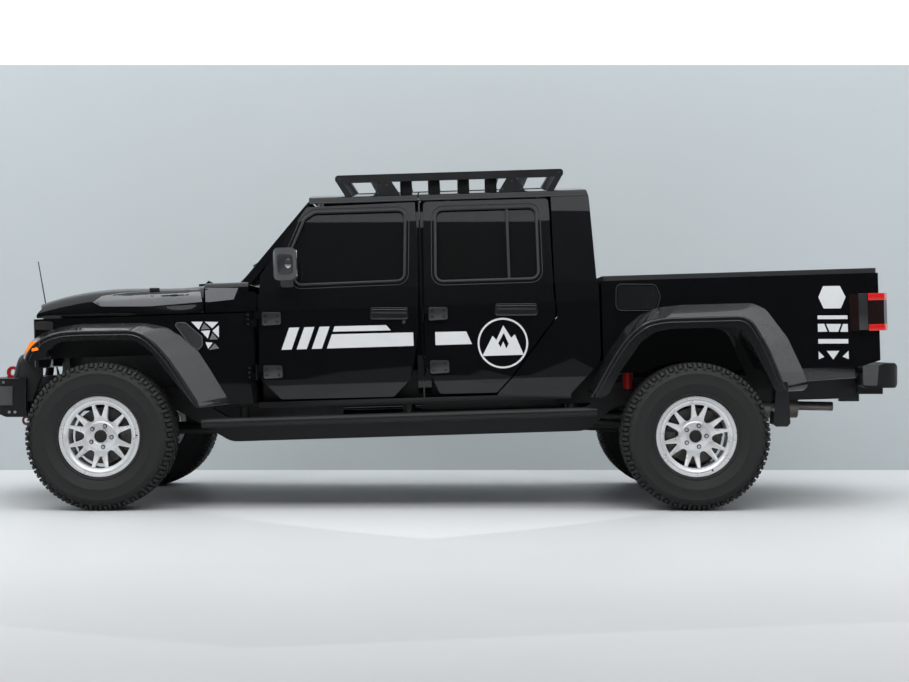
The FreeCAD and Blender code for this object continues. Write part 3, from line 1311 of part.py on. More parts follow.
RACK_FEET_shares = (0.225, 0.773)
def build_rack():
    body = new_body("roof_rack_body")
    low, wall = S.rack_top - S.rack_rail, S.rack_wall
    run = S.rack_back - S.rack_front
    rail = rounded(box_outline((-S.rack_back, low), (-S.rack_front, S.rack_top)), S.rack_rail / 2 - S.sheet_wall)
    roof = S.roof_edge + wall
    # Slanted braces at both ends and two feet that widen down to the roof's side
    ends = []
    for start, facing in ((-S.rack_front, -1), (-S.rack_back, 1)):
        foot = start + facing * 2.6 * wall
        ends.append([(start + facing * wall / 3, low + S.seat_gap), (start + facing * 1.6 * wall, low + S.seat_gap),
                     (foot + facing * wall, roof), (foot - facing * wall / 2, roof)])
    feet = []
    for share in RACK_FEET_shares:
        x = -S.rack_front - share * run
        feet.append([(x - wall, low + S.seat_gap), (x + wall, low + S.seat_gap), (x + 2.7 * wall, 1.3 * wall + S.roof_edge),
                     (x + 2.7 * wall, roof), (x - 2.7 * wall, roof), (x - 2.7 * wall, 1.3 * wall + S.roof_edge)])
    for side in BOTH_SIDES:
        across = sorted((side * (S.rack_half - wall), side * S.rack_half))
        pad(body, "XZ_Plane", across[0], across[1], rail)
        pad(body, "XZ_Plane", across[0], across[1], *[rounded(outline) for outline in ends + feet])
    slats = 8
    pitch = (run - 4 * wall) / (slats - 1)
    bars = []
    for number in range(slats):
        x = -S.rack_back + 2 * wall + number * pitch
        bars.append(rounded(box_outline((x - wall, low + wall / 6), (x + wall, low + wall * 0.8)), wall / 6))
    across = S.rack_half - wall + S.seat_gap
    pad(body, "XZ_Plane", -across, across, *bars)
    trimmed("roof_rack", body, parts["roof_panels"], parts["hardtop"])


build_rack()


# Inside of the cab

SEAT_shares = [
    (0.000, 0.152), (0.000, 0.283), (0.652, 0.253), (0.818, 0.838), (0.848, 1.000), (0.985, 1.000),
    (1.000, 0.838), (0.848, 0.152), (0.788, 0.000), (0.121, 0.000),
]
BENCH_shares = [
    (1.000, 0.186), (1.000, 0.337), (0.288, 0.302), (0.153, 1.000), (0.000, 1.000),
    (0.000, 0.116), (0.102, 0.000), (0.881, 0.000),
]
DASH_shares = [(0.000, 0.000), (0.000, 0.977), (0.383, 1.000), (0.915, 0.828), (1.000, 0.464), (0.596, 0.099)]
CONSOLE_shares = [(0.000, 0.000), (0.000, 0.900), (0.465, 1.000), (0.977, 0.575), (1.000, 0.000)]
def build_inside():
    seats = new_body("seats")
    floor = S.floor_top
    front_x = -S.front_door_nose - S.front_door_length * 0.42
    front = [(front_x - u * S.seat_run, floor + v * S.seat_rise) for u, v in SEAT_shares]
    for side in BOTH_SIDES:
        across = sorted((side * S.seat_gap_half, side * S.seat_half))
        pad(seats, "XZ_Plane", across[0], across[1], rounded(front, S.seat_round))
    rear_x = -S.hardtop_back + S.frame_depth + 3 * S.moving_gap
    bench = [(rear_x + u * S.bench_run, floor + v * S.bench_rise) for u, v in BENCH_shares]
    pad(seats, "XZ_Plane", -S.bench_half, S.bench_half, rounded(bench, S.seat_round))
    keep("seats", seats)

    dash = new_body("dashboard")
    back = -S.cowl_tail
    outline = [(back - u * S.dash_run, S.dash_low + v * S.dash_rise) for u, v in DASH_shares]
    soft = S.seat_round
    pad(dash, "XZ_Plane", -S.dash_half, S.dash_half, rounded(outline, radii=[0, 0, soft, soft, soft, soft]))
    console = [(back - u * S.console_run, floor + v * S.console_rise) for u, v in CONSOLE_shares]
    pad(dash, "XZ_Plane", -S.console_half, S.console_half, rounded(console, radii=[0, 0, soft, soft, 0]))
    keep("dashboard", dash)

    tilt = math.radians(S.wheel_tilt_deg)
    axis = Vector(-math.cos(tilt), 0, math.sin(tilt))
    centre = Vector(back - S.wheel_reach, S.wheel_side, S.wheel_height)
    wheel_ring = Part.makeTorus(S.wheel_ring, S.wheel_tube, centre, axis)
    inside, wide, thick = S.wheel_ring - S.wheel_tube / 2, S.wheel_tube, S.wheel_tube * 0.7
    spokes = [block(-wide, wide, -inside, inside, -thick, thick), block(0, inside, -wide, wide, -thick, thick)]
    for spoke in spokes:
        spoke.Placement = Placement(centre, Rotation(Vector(0, 0, 1), axis))
    column = cylinder_between(centre - axis * S.column_radius / 2, centre - axis * S.column_length, S.column_radius)
    hub = cylinder_between(centre - axis * S.column_radius, centre + axis * S.column_radius / 2, 2.3 * S.column_radius)
    wheel = piece("steering_wheel_whole", fused([wheel_ring, column, hub] + spokes), RAKED)
    trimmed("steering_wheel", wheel, parts["dashboard"], parts["cowl"])

    tubes = []
    top = S.roof_edge - S.cage_radius * 1.6
    middle_hoop = -S.rear_door_nose - 4 * S.overrun
    rear_hoop = -S.quarter_back + S.cab_wall + 5 * S.overrun
    shoulder = floor + S.bench_rise * 0.65
    for x, foot in ((middle_hoop, floor), (rear_hoop, floor + S.bench_rise)):
        side = [Vector(x, S.cage_half, foot), Vector(x, S.cage_half * 0.98, shoulder), Vector(x, S.cage_half * 0.93, top)]
        other = [Vector(x, -point.y, point.z) for point in reversed(side)]
        tubes.append(bent_tube(side + other, S.cage_radius, S.cage_bend))
    for side in BOTH_SIDES:
        y = side * S.cage_bar_half
        tubes.append(cylinder_between(Vector(-S.screen_head - S.overrun, y, top), Vector(rear_hoop, y, top), S.cage_radius))
    cage = piece("roll_cage_whole", fused(tubes), RAKED)
    trimmed("roll_cage", cage, parts["seats"], parts["windscreen_frame"], parts["cab_floor"])


build_inside()


# Mirrors on the front doors

def build_mirrors():
    front, back = -S.mirror_front, -S.mirror_front - S.mirror_run
    low, high = S.mirror_low, S.mirror_low + S.mirror_rise
    soft, wall = S.mirror_round, S.mirror_round / 2
    # The shell, seen from above, is deepest at its outer end; its arm stands on the door.
    plan = [(front - wall, S.mirror_inner), (front, S.mirror_inner + soft), (front - wall, S.mirror_half), (back, S.mirror_half),
            (back, S.mirror_inner)]
    arm = [(back + soft, low - soft), (front - soft, low - soft), (front - soft, low + soft), (back + soft, low + soft)]
    for side, name in zip(BOTH_SIDES, ("left", "right")):
        body = new_body("mirror_body_" + name)
        pad(body, "XY_Plane", low, high, rounded([(x, side * y) for x, y in plan], wall))
        reach = box_outline((back - soft, low - soft), (front + soft, high + soft))
        across = sorted((side * (S.mirror_inner - soft), side * (S.mirror_half + soft)))
        keep_inside(body, "XZ_Plane", across[0], across[1], reach,
                    rounded(box_outline((back, low), (front, high)), S.mirror_round))
        across = sorted((side * (S.belt_half - S.door_skin), side * (S.mirror_inner + wall)))
        pad(body, "XZ_Plane", across[0], across[1], rounded(arm, S.panel_gap))
        trimmed("mirror_" + name, body, parts["door_front_" + name], parts["glass_front_" + name])


build_mirrors()


# Axles, steering knuckles, tie rod and wheels stay level

def build_axles():
    r = S.axle_tube_radius
    height = S.tyre_radius
    half = S.kingpin_half
    web_out = half - S.knuckle_depth - S.yoke_plate
    lug_low = S.knuckle_half_height + S.moving_gap
    lug_high = lug_low + S.yoke_plate

    def spring_pad(x):
        return Part.makeCylinder(S.spring_radius, S.overrun, Vector(x, S.spring_half, height + r * 0.5))

    def housing(x, y, nose):
        ball = Part.makeSphere(S.diff_radius, Vector(x, y, height))
        trunk = Part.makeCylinder(S.diff_radius * 0.8, S.diff_width, Vector(x, y - S.diff_width / 2, height), Vector(0, 1, 0))
        snout = Part.makeCone(S.diff_radius * 0.75, S.hub_bore_radius * 1.3, 2 * S.diff_radius, Vector(x, y, height), Vector(nose, 0, 0))
        return fused([ball, trunk, snout])

    web = block(-r, r, web_out, web_out + S.yoke_plate, height - lug_high, height + lug_high)
    upper = block(-r, r, web_out, half + r * 0.8, height + lug_low, height + lug_high)
    lower = block(-r, r, web_out, half + r * 0.8, height - lug_high, height - lug_low)
    bore = Part.makeCylinder(S.kingpin_radius + S.seat_gap, 4 * lug_high, Vector(0, half, height - 2 * lug_high))
    side = fused([web, upper, lower, spring_pad(0)]).cut(bore)
    other = side.mirror(Vector(0, 0, 0), Vector(0, 1, 0))
    tube = Part.makeCylinder(r, 2 * web_out + S.seat_gap, Vector(0, -web_out - S.seat_gap / 2, height), Vector(0, 1, 0))
    front = fused([tube, side, other, housing(0, S.front_diff_side, -1)])
    solid_node("front_axle", front)

    x = -S.wheelbase
    hub_face = S.track / 2 + S.hub_offset
    end = hub_face - S.disc_depth - 4 * S.moving_gap
    tube = Part.makeCylinder(r, 2 * end, Vector(x, -end, height), Vector(0, 1, 0))
    stub = Part.makeCylinder(S.hub_bore_radius - S.seat_gap, 2 * (hub_face + S.hub_depth / 2), Vector(x, -hub_face - S.hub_depth / 2, height), Vector(0, 1, 0))
    pads = [spring_pad(x), spring_pad(x).mirror(Vector(0, 0, 0), Vector(0, 1, 0))]
    rear = fused([tube, stub] + pads + [housing(x, 0, 1)])
    solid_node("rear_axle", rear)


build_axles()


def build_knuckles():
    height, half = S.tyre_radius, S.kingpin_half
    hub_face = S.track / 2 + S.hub_offset
    for side, name in zip(BOTH_SIDES, ("left", "right")):
        core_width = S.axle_tube_radius * 0.85
        core = block(-core_width, core_width, half - S.knuckle_depth / 3, half + S.knuckle_depth, height - S.knuckle_half_height, height + S.knuckle_half_height)
        pin_reach = S.knuckle_half_height + S.moving_gap + S.yoke_plate
        kingpin = Part.makeCylinder(S.kingpin_radius, 2 * pin_reach, Vector(0, half, height - pin_reach))
        spindle = Part.makeCylinder(S.hub_bore_radius - S.seat_gap, hub_face + S.hub_depth / 2 - half, Vector(0, half, height), Vector(0, 1, 0))
        arm_z = height - S.tie_rod_drop
        arm = block(0, S.steering_arm, half - S.kingpin_radius, half + S.kingpin_radius, arm_z - S.kingpin_radius / 2, arm_z + S.kingpin_radius / 2)
        arm_end = Part.makeCylinder(S.kingpin_radius * 1.4, S.kingpin_radius, Vector(S.steering_arm, half, arm_z - S.kingpin_radius / 2))
        stud = Part.makeCylinder(S.kingpin_radius * 0.6, 4 * S.kingpin_radius, Vector(S.steering_arm, half, arm_z - 4.5 * S.kingpin_radius))
        shape = fused([core, kingpin, spindle, arm, arm_end, stud])
        if side < 0:
            shape = shape.mirror(Vector(0, 0, 0), Vector(0, 1, 0))
        solid_node("knuckle_" + name, shape)
    z = height - S.tie_rod_drop - 2.6 * S.kingpin_radius
    rod = Part.makeCylinder(S.tie_rod_radius, 2 * half, Vector(S.steering_arm, -half, z), Vector(0, 1, 0))
    ends = [Part.makeCylinder(S.kingpin_radius * 1.6, S.kingpin_radius * 2.4, Vector(S.steering_arm, y, z - S.kingpin_radius * 1.2)) for y in (-half, half)]
    holes = [Part.makeCylinder(S.kingpin_radius * 0.6 + S.seat_gap, S.overrun * 4, Vector(S.steering_arm, y, z - 2 * S.overrun)) for y in (-half, half)]
    rod = fused([rod] + ends)
    for hole in holes:
        rod = rod.cut(hole)
    solid_node("tie_rod", rod)


build_knuckles()


TYRE_shares = [(0.760, 0.500), (0.900, 0.485)]
LUG_shares = [(0.958, 0.452), (1.000, 0.400), (1.000, 0.300)]
NOTCH_shares = [(0.932, 0.440), (0.957, 0.370), (1.000, 0.300)]


def lugged_tyre(casing, lug, notch, count, centre):
    """A closed ring of flat facets, with shoulder lugs that alternate from side to side."""
    half_step = math.pi / count
    stretch = 1 / math.cos(half_step)

    def face(corners):
        points = [centre + Vector(r * stretch * math.sin(a), y, -r * stretch * math.cos(a)) for r, y, a in corners]
        return Part.Face(Part.makePolygon(points + points[:1]))

    faces = []
    for number in range(count):
        start = 2 * math.pi * number / count - half_step
        end = start + 2 * half_step
        high, low = (lug, notch) if number % 2 else (notch, lug)
        profile = casing + high + [(r, -y) for r, y in reversed(casing + low)]
        for (r0, y0), (r1, y1) in zip(profile, profile[1:] + profile[:1]):
            faces.append(face([(r0, y0, start), (r1, y1, start), (r1, y1, end), (r0, y0, end)]))
        # Upright walls between each lug and the notch beside it
        root = casing[-1]
        for side in BOTH_SIDES:
            wall = [root] + lug + list(reversed(notch[:-1]))
            faces.append(face([(r, side * y, start) for r, y in wall]))
    solid = Part.makeSolid(Part.makeShell(faces))
    if solid.Volume < 0:
        solid.reverse()
    return solid


WIDE_WINDOW_shares = [(0.50, -0.30), (0.44, -0.16), (0.44, 0.16), (0.50, 0.30), (0.93, 0.275), (0.96, 0.0), (0.93, -0.275)]
NARROW_WINDOW_shares = [(0.58, 0.03), (0.58, -0.03), (0.94, -0.19), (0.96, 0.0), (0.94, 0.19)]
def build_wheels():
    sectors = 40
    width = S.tyre_width
    bead = S.bead_width / 2 - S.rim_wall - S.seat_gap
    casing = [(S.bead_radius + S.seat_gap, bead), (S.lip_radius + S.seat_gap, bead)]
    casing, lug, notch = [
        start + [(u * S.tyre_radius, v * width) for u, v in shares]
        for start, shares in ((casing, TYRE_shares), ([], LUG_shares), ([], NOTCH_shares))]
    seat, lip, wall = S.bead_radius, S.lip_radius, S.rim_wall
    edge, well = S.bead_width / 2, seat - 2 * wall
    barrel = [
        (lip, edge), (lip, edge - wall), (seat, edge - wall), (well, edge * 0.55), (well, -edge * 0.5), (seat, -edge + wall),
        (lip, -edge + wall), (lip, -edge), (seat - wall, -edge), (well - wall, -edge * 0.6), (well - wall, edge * 0.6),
        (seat - wall, edge),
    ]
    face = S.hub_offset + S.hub_depth
    for axle, x in (("front", 0), ("rear", -S.wheelbase)):
        for side, name in zip(BOTH_SIDES, ("left", "right")):
            label = axle + "_" + name
            middle = side * S.track / 2
            centre = Vector(x, middle, S.tyre_radius)
            solid_node("tyre_" + label, lugged_tyre(casing, lug, notch, sectors, centre))

            def across(low, high):
                return sorted((middle + side * low, middle + side * high))

            rim = new_body("rim_" + label, LEVEL)
            sketch = draw(rim, "YZ_Plane", x, [rounded([(middle + side * y, S.tyre_radius + r) for r, y in barrel])])
            axis = sketch.addGeometry(
                Part.LineSegment(Vector(middle - wall, S.tyre_radius, 0), Vector(middle + wall, S.tyre_radius, 0)), True)
            turned = rim.newObject("PartDesign::Revolution", rim.Name + "_barrel")
            turned.Profile = sketch
            turned.ReferenceAxis = (sketch, ["Axis0"])
            turned.Angle = 360
            rim.Tip = turned
            doc.recompute()
            low, high = across(face - S.spoke_depth, face)
            windows = []
            for number in range(6):
                base = (number + 0.5) * math.pi / 3
                for window_shares, start in ((WIDE_WINDOW_shares, base), (NARROW_WINDOW_shares, base + math.pi / 6)):
                    points = [(x + well * u * math.cos(start + turn), S.tyre_radius + well * u * math.sin(start + turn))
                              for u, turn in window_shares]
                    windows.append(rounded(points, S.panel_gap))
            pad(rim, "XZ_Plane", low, high, ring(x, S.tyre_radius, well - wall / 2), *windows)
            low, high = across(S.hub_offset, face)
            pad(rim, "XZ_Plane", low, high, ring(x, S.tyre_radius, S.hub_radius))
            low, high = across(S.hub_offset - S.disc_depth, S.hub_offset + S.seat_gap)
            pad(rim, "XZ_Plane", low, high, ring(x, S.tyre_radius, S.disc_radius))
            low, high = across(S.hub_offset - S.disc_depth - S.overrun, S.hub_offset + S.hub_depth / 2 + S.moving_gap)
            pocket(rim, "XZ_Plane", low, high, ring(x, S.tyre_radius, S.hub_bore_radius))
            keep("rim_" + label, rim)


build_wheels()


# Springs, dampers, links, shafts, tank and exhaust under the body

def x_rise(x):
    """Rise of the leaning body at a place along the vehicle."""
    return -x * math.sin(math.radians(S.rake_deg))


def build_springs():
    low = S.tyre_radius + S.axle_tube_radius * 0.5 + S.overrun
    springs = []
    dampers = []
    for x, top in ((0, S.rail_front), (-S.wheelbase, S.rail_rear + x_rise(-S.wheelbase))):
        high = top + S.rail_height * 0.6
        outer = Part.makeCylinder(S.spring_radius, high - low, Vector(x, S.spring_half, low))
        inner = Part.makeCylinder(S.spring_radius - S.spring_wire, high - low, Vector(x, S.spring_half, low))
        springs.append(outer.cut(inner))
        dampers.append(Part.makeCylinder(S.shock_radius, high - low, Vector(x, S.spring_half, low)))
    whole = piece("coil_spring_set", both(Part.makeCompound(springs)))
    trimmed("coil_springs", whole, parts["ladder_frame"])
    inside = piece("damper_set", both(Part.makeCompound(dampers)))
    trimmed("dampers", inside, parts["ladder_frame"])


build_springs()


def build_links():
    height = S.tyre_radius
    inside = S.rail_half
    rises = [-share * S.wheelbase for share in RAIL_shares]
    front_end = Vector(rises[1] - S.cross_width, inside, S.rail_low + S.rail_height / 2 + x_rise(rises[1]))
    rear_end = Vector(rises[2] + S.cross_width, inside, S.rail_low + S.rail_height / 2 + x_rise(rises[2]))
    arm = S.shock_radius * 0.8
    start_y = inside - S.rail_width
    arms = [
        cylinder_between(Vector(0, start_y, height), front_end, arm),
        cylinder_between(Vector(-S.wheelbase, start_y, height), rear_end, arm),
    ]
    whole = piece("link_set", both(Part.makeCompound(arms)))
    trimmed("suspension_arms", whole, parts["ladder_frame"], parts["front_axle"], parts["rear_axle"])


build_links()


def build_shafts():
    height = S.tyre_radius
    gearbox_tail = -S.hood_tail * 0.85 - 10 * S.knuckle_half_height
    shaft = S.shock_radius * 1.2
    box_height = S.rail_low + S.rail_height * 0.9 + x_rise(gearbox_tail)
    rear = cylinder_between(Vector(-S.wheelbase + S.diff_radius, 0, height), Vector(gearbox_tail + S.overrun, 0, box_height), shaft)
    front = cylinder_between(Vector(-S.diff_radius, S.front_diff_side, height),
                             Vector(gearbox_tail + 3 * S.knuckle_half_height, S.knuckle_half_height, box_height - S.overrun), shaft * 0.8)
    whole = piece("shaft_pair", Part.makeCompound([rear, front]))
    trimmed("propshafts", whole, parts["front_axle"], parts["rear_axle"], parts["gearbox"], parts["ladder_frame"])


build_shafts()


def build_tank():
    body = new_body("fuel_tank")
    half_way = -(RAIL_shares[1] + RAIL_shares[2]) / 2 * S.wheelbase
    rear = -RAIL_shares[2] * S.wheelbase
    low, high = S.rail_low + S.shock_radius, S.floor_top - S.floor_depth
    inner, outer = 2 * S.shock_radius + S.moving_gap, S.rail_half - S.rail_width / 2 - S.moving_gap
    pad(body, "YZ_Plane", rear + 1.8 * S.cross_width, half_way - S.cross_width,
        rounded([(inner, low), (outer, low), (outer, high), (inner, high)], radii=[S.overrun, S.overrun, 0, 0]))
    keep("fuel_tank", body)


build_tank()


def build_exhaust():
    side = -S.rail_half * 0.62
    radius = S.shock_radius
    low = S.rail_low + S.cross_height + S.rail_height * 0.32
    behind = S.rail_low + S.rail_height * 0.42
    rises = [-share * S.wheelbase for share in RAIL_shares]
    muffler_front = -S.wheelbase - S.rail_tail * 0.38
    muffler_back = -S.wheelbase - S.rail_tail * 0.78
    points = [
        Vector(-S.hood_tail * 0.5, side * 0.85, S.rail_front + S.overrun * 1.6),
        Vector(rises[0] * 1.6, side, S.rail_front),
        Vector(rises[1], side, low), Vector((rises[1] + rises[2]) / 2, side, low + radius / 4),
        Vector(rises[2] + 3 * S.cross_width, side, behind), Vector(muffler_front - S.overrun, side, behind + radius / 4),
    ]
    pipe = bent_tube(points, radius, 3 * radius)
    muffler = Part.makeCylinder(radius * 3, muffler_front - muffler_back, Vector(muffler_front, side, behind + radius), Vector(-1, 0, 0))
    tail = cylinder_between(Vector(muffler_back + S.overrun, side, behind + radius), Vector(-S.wheelbase - S.rail_tail, side, behind + radius / 2), radius * 1.1)
    whole = piece("exhaust_whole", fused([pipe, muffler, tail]), RAKED)
    trimmed("exhaust", whole, parts["engine_block"], parts["ladder_frame"])


build_exhaust()


def build_radiator():
    body = new_body("radiator")
    half = S.rail_half - S.rail_width / 2
    pad(body, "YZ_Plane", S.wing_nose - 3 * S.overrun, S.wing_nose - 3 * S.overrun + S.grille_depth,
        rounded(box_outline((-half, S.rail_front + S.rail_height / 2), (half, S.grille_top)), S.sheet_wall))
    trimmed("radiator", body, parts["ladder_frame"])


build_radiator()

doc.recompute()
os.makedirs("parts", exist_ok=True)
for thing in doc.Objects:
    if "Invalid" in thing.State or "Error" in thing.State:
        raise RuntimeError("%s did not build: %s" % (thing.Name, thing.State))
for label, thing in parts.items():
    if thing.Shape.isNull() or not thing.Shape.isValid():
        raise RuntimeError("%s has no valid shape" % label)
    thing.Shape.exportStep("parts/%s.step" % label)
    print(label, len(thing.Shape.Solids), round(thing.Shape.Volume / 1e6, 3), thing.Shape.BoundBox)
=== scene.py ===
import json
import math
import bmesh
import bpy
from mathutils import Matrix, Vector
from mathutils.bvhtree import BVHTree


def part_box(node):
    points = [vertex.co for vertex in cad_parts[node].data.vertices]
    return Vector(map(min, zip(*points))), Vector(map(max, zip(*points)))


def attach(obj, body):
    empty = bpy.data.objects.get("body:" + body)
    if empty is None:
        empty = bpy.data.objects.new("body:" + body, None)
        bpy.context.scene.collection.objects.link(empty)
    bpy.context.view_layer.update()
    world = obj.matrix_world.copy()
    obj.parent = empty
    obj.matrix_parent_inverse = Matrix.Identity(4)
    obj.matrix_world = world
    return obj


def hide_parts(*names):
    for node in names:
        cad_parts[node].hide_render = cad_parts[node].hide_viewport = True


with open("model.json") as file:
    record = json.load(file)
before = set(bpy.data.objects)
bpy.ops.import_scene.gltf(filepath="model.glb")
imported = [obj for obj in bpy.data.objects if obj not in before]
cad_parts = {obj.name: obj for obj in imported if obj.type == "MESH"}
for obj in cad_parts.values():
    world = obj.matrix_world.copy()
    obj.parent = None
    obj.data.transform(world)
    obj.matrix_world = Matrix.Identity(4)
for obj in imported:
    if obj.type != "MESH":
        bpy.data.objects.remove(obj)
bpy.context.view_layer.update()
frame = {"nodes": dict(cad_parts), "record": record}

SIDES = (("left", 1), ("right", -1))

# The body leans nose down; its pieces are drawn in the body's own frame, X from the front axle
RAKE = math.radians(1.75)
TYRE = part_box("tyre_front_left")
AXLE_X = (TYRE[0].x + TYRE[1].x) / 2
REAR_AXLE_X = sum(corner.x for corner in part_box("tyre_rear_left")) / 2
WHEEL_Y = (TYRE[0].y + TYRE[1].y) / 2
WHEEL_Z = (TYRE[0].z + TYRE[1].z) / 2
TYRE_RADIUS = WHEEL_Z
LEVEL = Matrix.Translation((AXLE_X, 0, 0))
LEAN = LEVEL @ Matrix.Rotation(RAKE, 4, "Y")
HERE = Matrix.Identity(4)
QUARTER_TURN = math.radians(90)


# Materials

def node(tree, kind, **values):
    made = tree.nodes.new("ShaderNode" + kind)
    for key, value in values.items():
        if hasattr(made, key):
            setattr(made, key, value)
        else:
            made.inputs[key.replace("_", " ")].default_value = value
    return made


def surface(name, colour, roughness, mottle, grain, metallic=0.0, patch=5.0, spread=0.05, **sockets):
    """A finish whose colour and roughness drift softly, with a fine grain as bump."""
    material = bpy.data.materials.new(name)
    material.use_nodes = True
    tree = material.node_tree
    link = tree.links.new
    shader = tree.nodes["Principled BSDF"]
    place = node(tree, "TexCoord")
    drift = node(tree, "TexNoise", Scale=patch, Detail=5.0, Roughness=0.6)
    link(place.outputs["Object"], drift.inputs["Vector"])
    ramp = node(tree, "ValToRGB")
    for stop, position, gain in zip(ramp.color_ramp.elements, (0.3, 0.7), (1 - mottle, 1 + mottle)):
        stop.position = position
        stop.color = [min(1, c * gain) for c in colour] + [1]
    link(drift.outputs["Fac"], ramp.inputs["Fac"])
    link(ramp.outputs["Color"], shader.inputs["Base Color"])
    rough = node(tree, "MapRange", From_Min=0.25, From_Max=0.75, To_Min=max(0.0, roughness - spread),
                 To_Max=min(1.0, roughness + spread))
    link(drift.outputs["Fac"], rough.inputs["Value"])
    link(rough.outputs["Result"], shader.inputs["Roughness"])
    shader.inputs["Metallic"].default_value = metallic
    if grain:
        kind, scale, depth = grain
        fine = node(tree, kind, Scale=scale)
        link(place.outputs["Object"], fine.inputs["Vector"])
        bump = node(tree, "Bump", Strength=1.0, Distance=depth)
        link(fine.outputs[0], bump.inputs["Height"])
        link(bump.outputs["Normal"], shader.inputs["Normal"])
    for key, value in sockets.items():
        shader.inputs[key.replace("_", " ")].default_value = value
    return material


NOISE, CELLS = "TexNoise", "TexVoronoi"
# Each finish by its colour, roughness, mottle and grain, and what else sets it apart
FINISHES = {
    "body_paint": ((0.0025, 0.0026, 0.003), 0.4, 0.2, (NOISE, 260.0, 0.00002), dict(
        spread=0.04, Specular_IOR_Level=0.02, Coat_Weight=1.0, Coat_Roughness=0.02)),
    "cap_grey": ((0.075, 0.0765, 0.079), 0.38, 0.12, (NOISE, 420.0, 0.0002), {}),
    "smoked_lens": ((0.012, 0.004, 0.004), 0.12, 0.2, None, dict(Coat_Weight=1.0)),
    "flare_plastic": ((0.0065, 0.0067, 0.0072), 0.26, 0.15, (NOISE, 420.0, 0.00004), dict(
        spread=0.04, Specular_IOR_Level=0.3, Coat_Weight=1.0, Coat_Roughness=0.06)),
    "hinge_satin": ((0.022, 0.0225, 0.024), 0.3, 0.15, (NOISE, 420.0, 0.00008), dict(Coat_Weight=0.6)),
    "vent_mesh": ((0.012, 0.012, 0.013), 0.4, 0.3, (CELLS, 130.0, 0.004), {}),
    "satin_black_steel": ((0.009, 0.0092, 0.0098), 0.36, 0.15, (CELLS, 900.0, 0.00012), dict(
        Specular_IOR_Level=0.35)),
    "chassis_steel": ((0.012, 0.012, 0.0125), 0.5, 0.35, (NOISE, 300.0, 0.0003), dict(patch=9.0, spread=0.1)),
    "cast_metal": ((0.16, 0.16, 0.165), 0.5, 0.2, (NOISE, 240.0, 0.0006), dict(metallic=0.7)),
    "exhaust_steel": ((0.2, 0.185, 0.17), 0.42, 0.35, (NOISE, 160.0, 0.0002), dict(metallic=0.9, patch=7.0)),
    "red_paint": ((0.5, 0.012, 0.01), 0.3, 0.12, (NOISE, 300.0, 0.00008), dict(Coat_Weight=0.7)),
    "dark_glass": ((0.014, 0.0155, 0.0155), 0.02, 0.06, None, dict(
        spread=0.01, Transmission_Weight=0.75, IOR=1.5, Specular_IOR_Level=0.3)),
    "lamp_glass": ((0.9, 0.92, 0.95), 0.03, 0.03, None, dict(spread=0.01, Transmission_Weight=0.9, IOR=1.5)),
    "amber_lens": ((0.95, 0.2, 0.008), 0.12, 0.15, (CELLS, 260.0, 0.0008), dict(
        patch=60.0, Coat_Weight=1.0, Emission_Color=(1.0, 0.25, 0.02, 1), Emission_Strength=0.5)),
    "red_lens": ((0.4, 0.004, 0.004), 0.1, 0.15, (CELLS, 240.0, 0.0008), dict(
        patch=40.0, Coat_Weight=1.0, Emission_Color=(1.0, 0.015, 0.015, 1), Emission_Strength=0.28)),
    "interior_plastic": ((0.018, 0.018, 0.019), 0.6, 0.15, (CELLS, 520.0, 0.0003), {}),
    "grille_black": ((0.008, 0.008, 0.009), 0.24, 0.15, (NOISE, 320.0, 0.00005), dict(
        Coat_Weight=0.8, Coat_Roughness=0.06)),
    "seat_fabric": ((0.022, 0.022, 0.024), 0.85, 0.2, (CELLS, 1400.0, 0.0004), dict(
        patch=20.0, Sheen_Weight=0.4)),
    "tyre_rubber": ((0.0095, 0.0095, 0.0093), 0.7, 0.3, (NOISE, 380.0, 0.0005), dict(patch=14.0, spread=0.1)),
    "wheel_silver": ((0.86, 0.87, 0.88), 0.3, 0.04, (NOISE, 700.0, 0.00004), dict(
        metallic=0.42, patch=16.0, spread=0.06, Coat_Weight=0.5, Coat_Roughness=0.08)),
    "brake_iron": ((0.11, 0.107, 0.103), 0.45, 0.3, (NOISE, 500.0, 0.0002), dict(metallic=0.8, patch=24.0)),
    "seal": ((0.014, 0.014, 0.015), 0.5, 0.2, (NOISE, 500.0, 0.0001), {}),
    "chrome": ((0.8, 0.81, 0.83), 0.1, 0.03, None, dict(metallic=1.0)),
    "mirror_glass": ((0.75, 0.77, 0.8), 0.03, 0.02, None, dict(metallic=1.0, spread=0.01)),
    "vinyl_white": ((0.78, 0.79, 0.8), 0.35, 0.03, (NOISE, 300.0, 0.00006), dict(Coat_Weight=0.3)),
    "vinyl_grey": ((0.17, 0.175, 0.18), 0.34, 0.08, (NOISE, 300.0, 0.00006), dict(Coat_Weight=0.5)),
    "mesh_black": ((0.004, 0.004, 0.004), 0.6, 0.2, (CELLS, 200.0, 0.001), {}),
    "chalk": ((0.66, 0.67, 0.68), 0.5, 0.015, None, dict(patch=0.7, spread=0.04)),
    "wall": ((0.44, 0.475, 0.49), 0.7, 0.02, None, dict(
        patch=0.5, Emission_Color=(0.44, 0.475, 0.49, 1), Emission_Strength=0.05)),
    "panel": ((0.8, 0.81, 0.82), 0.6, 0.02, None, dict(
        patch=0.5, Emission_Color=(0.95, 0.98, 1.0, 1), Emission_Strength=0.9)),
}
FINISH = {name: surface(name, *row, **more) for name, (*row, more) in FINISHES.items()}


# Mesh helpers

def fresh():
    return bmesh.new()


def turned(bm, matrix):
    bmesh.ops.transform(bm, matrix=matrix, verts=bm.verts)
    return bm


def mirrored(bm, side):
    """Moves a piece drawn for the left to its side."""
    if side < 0:
        bmesh.ops.scale(bm, vec=(1, -1, 1), verts=bm.verts)
        bmesh.ops.reverse_faces(bm, faces=bm.faces)
    return bm


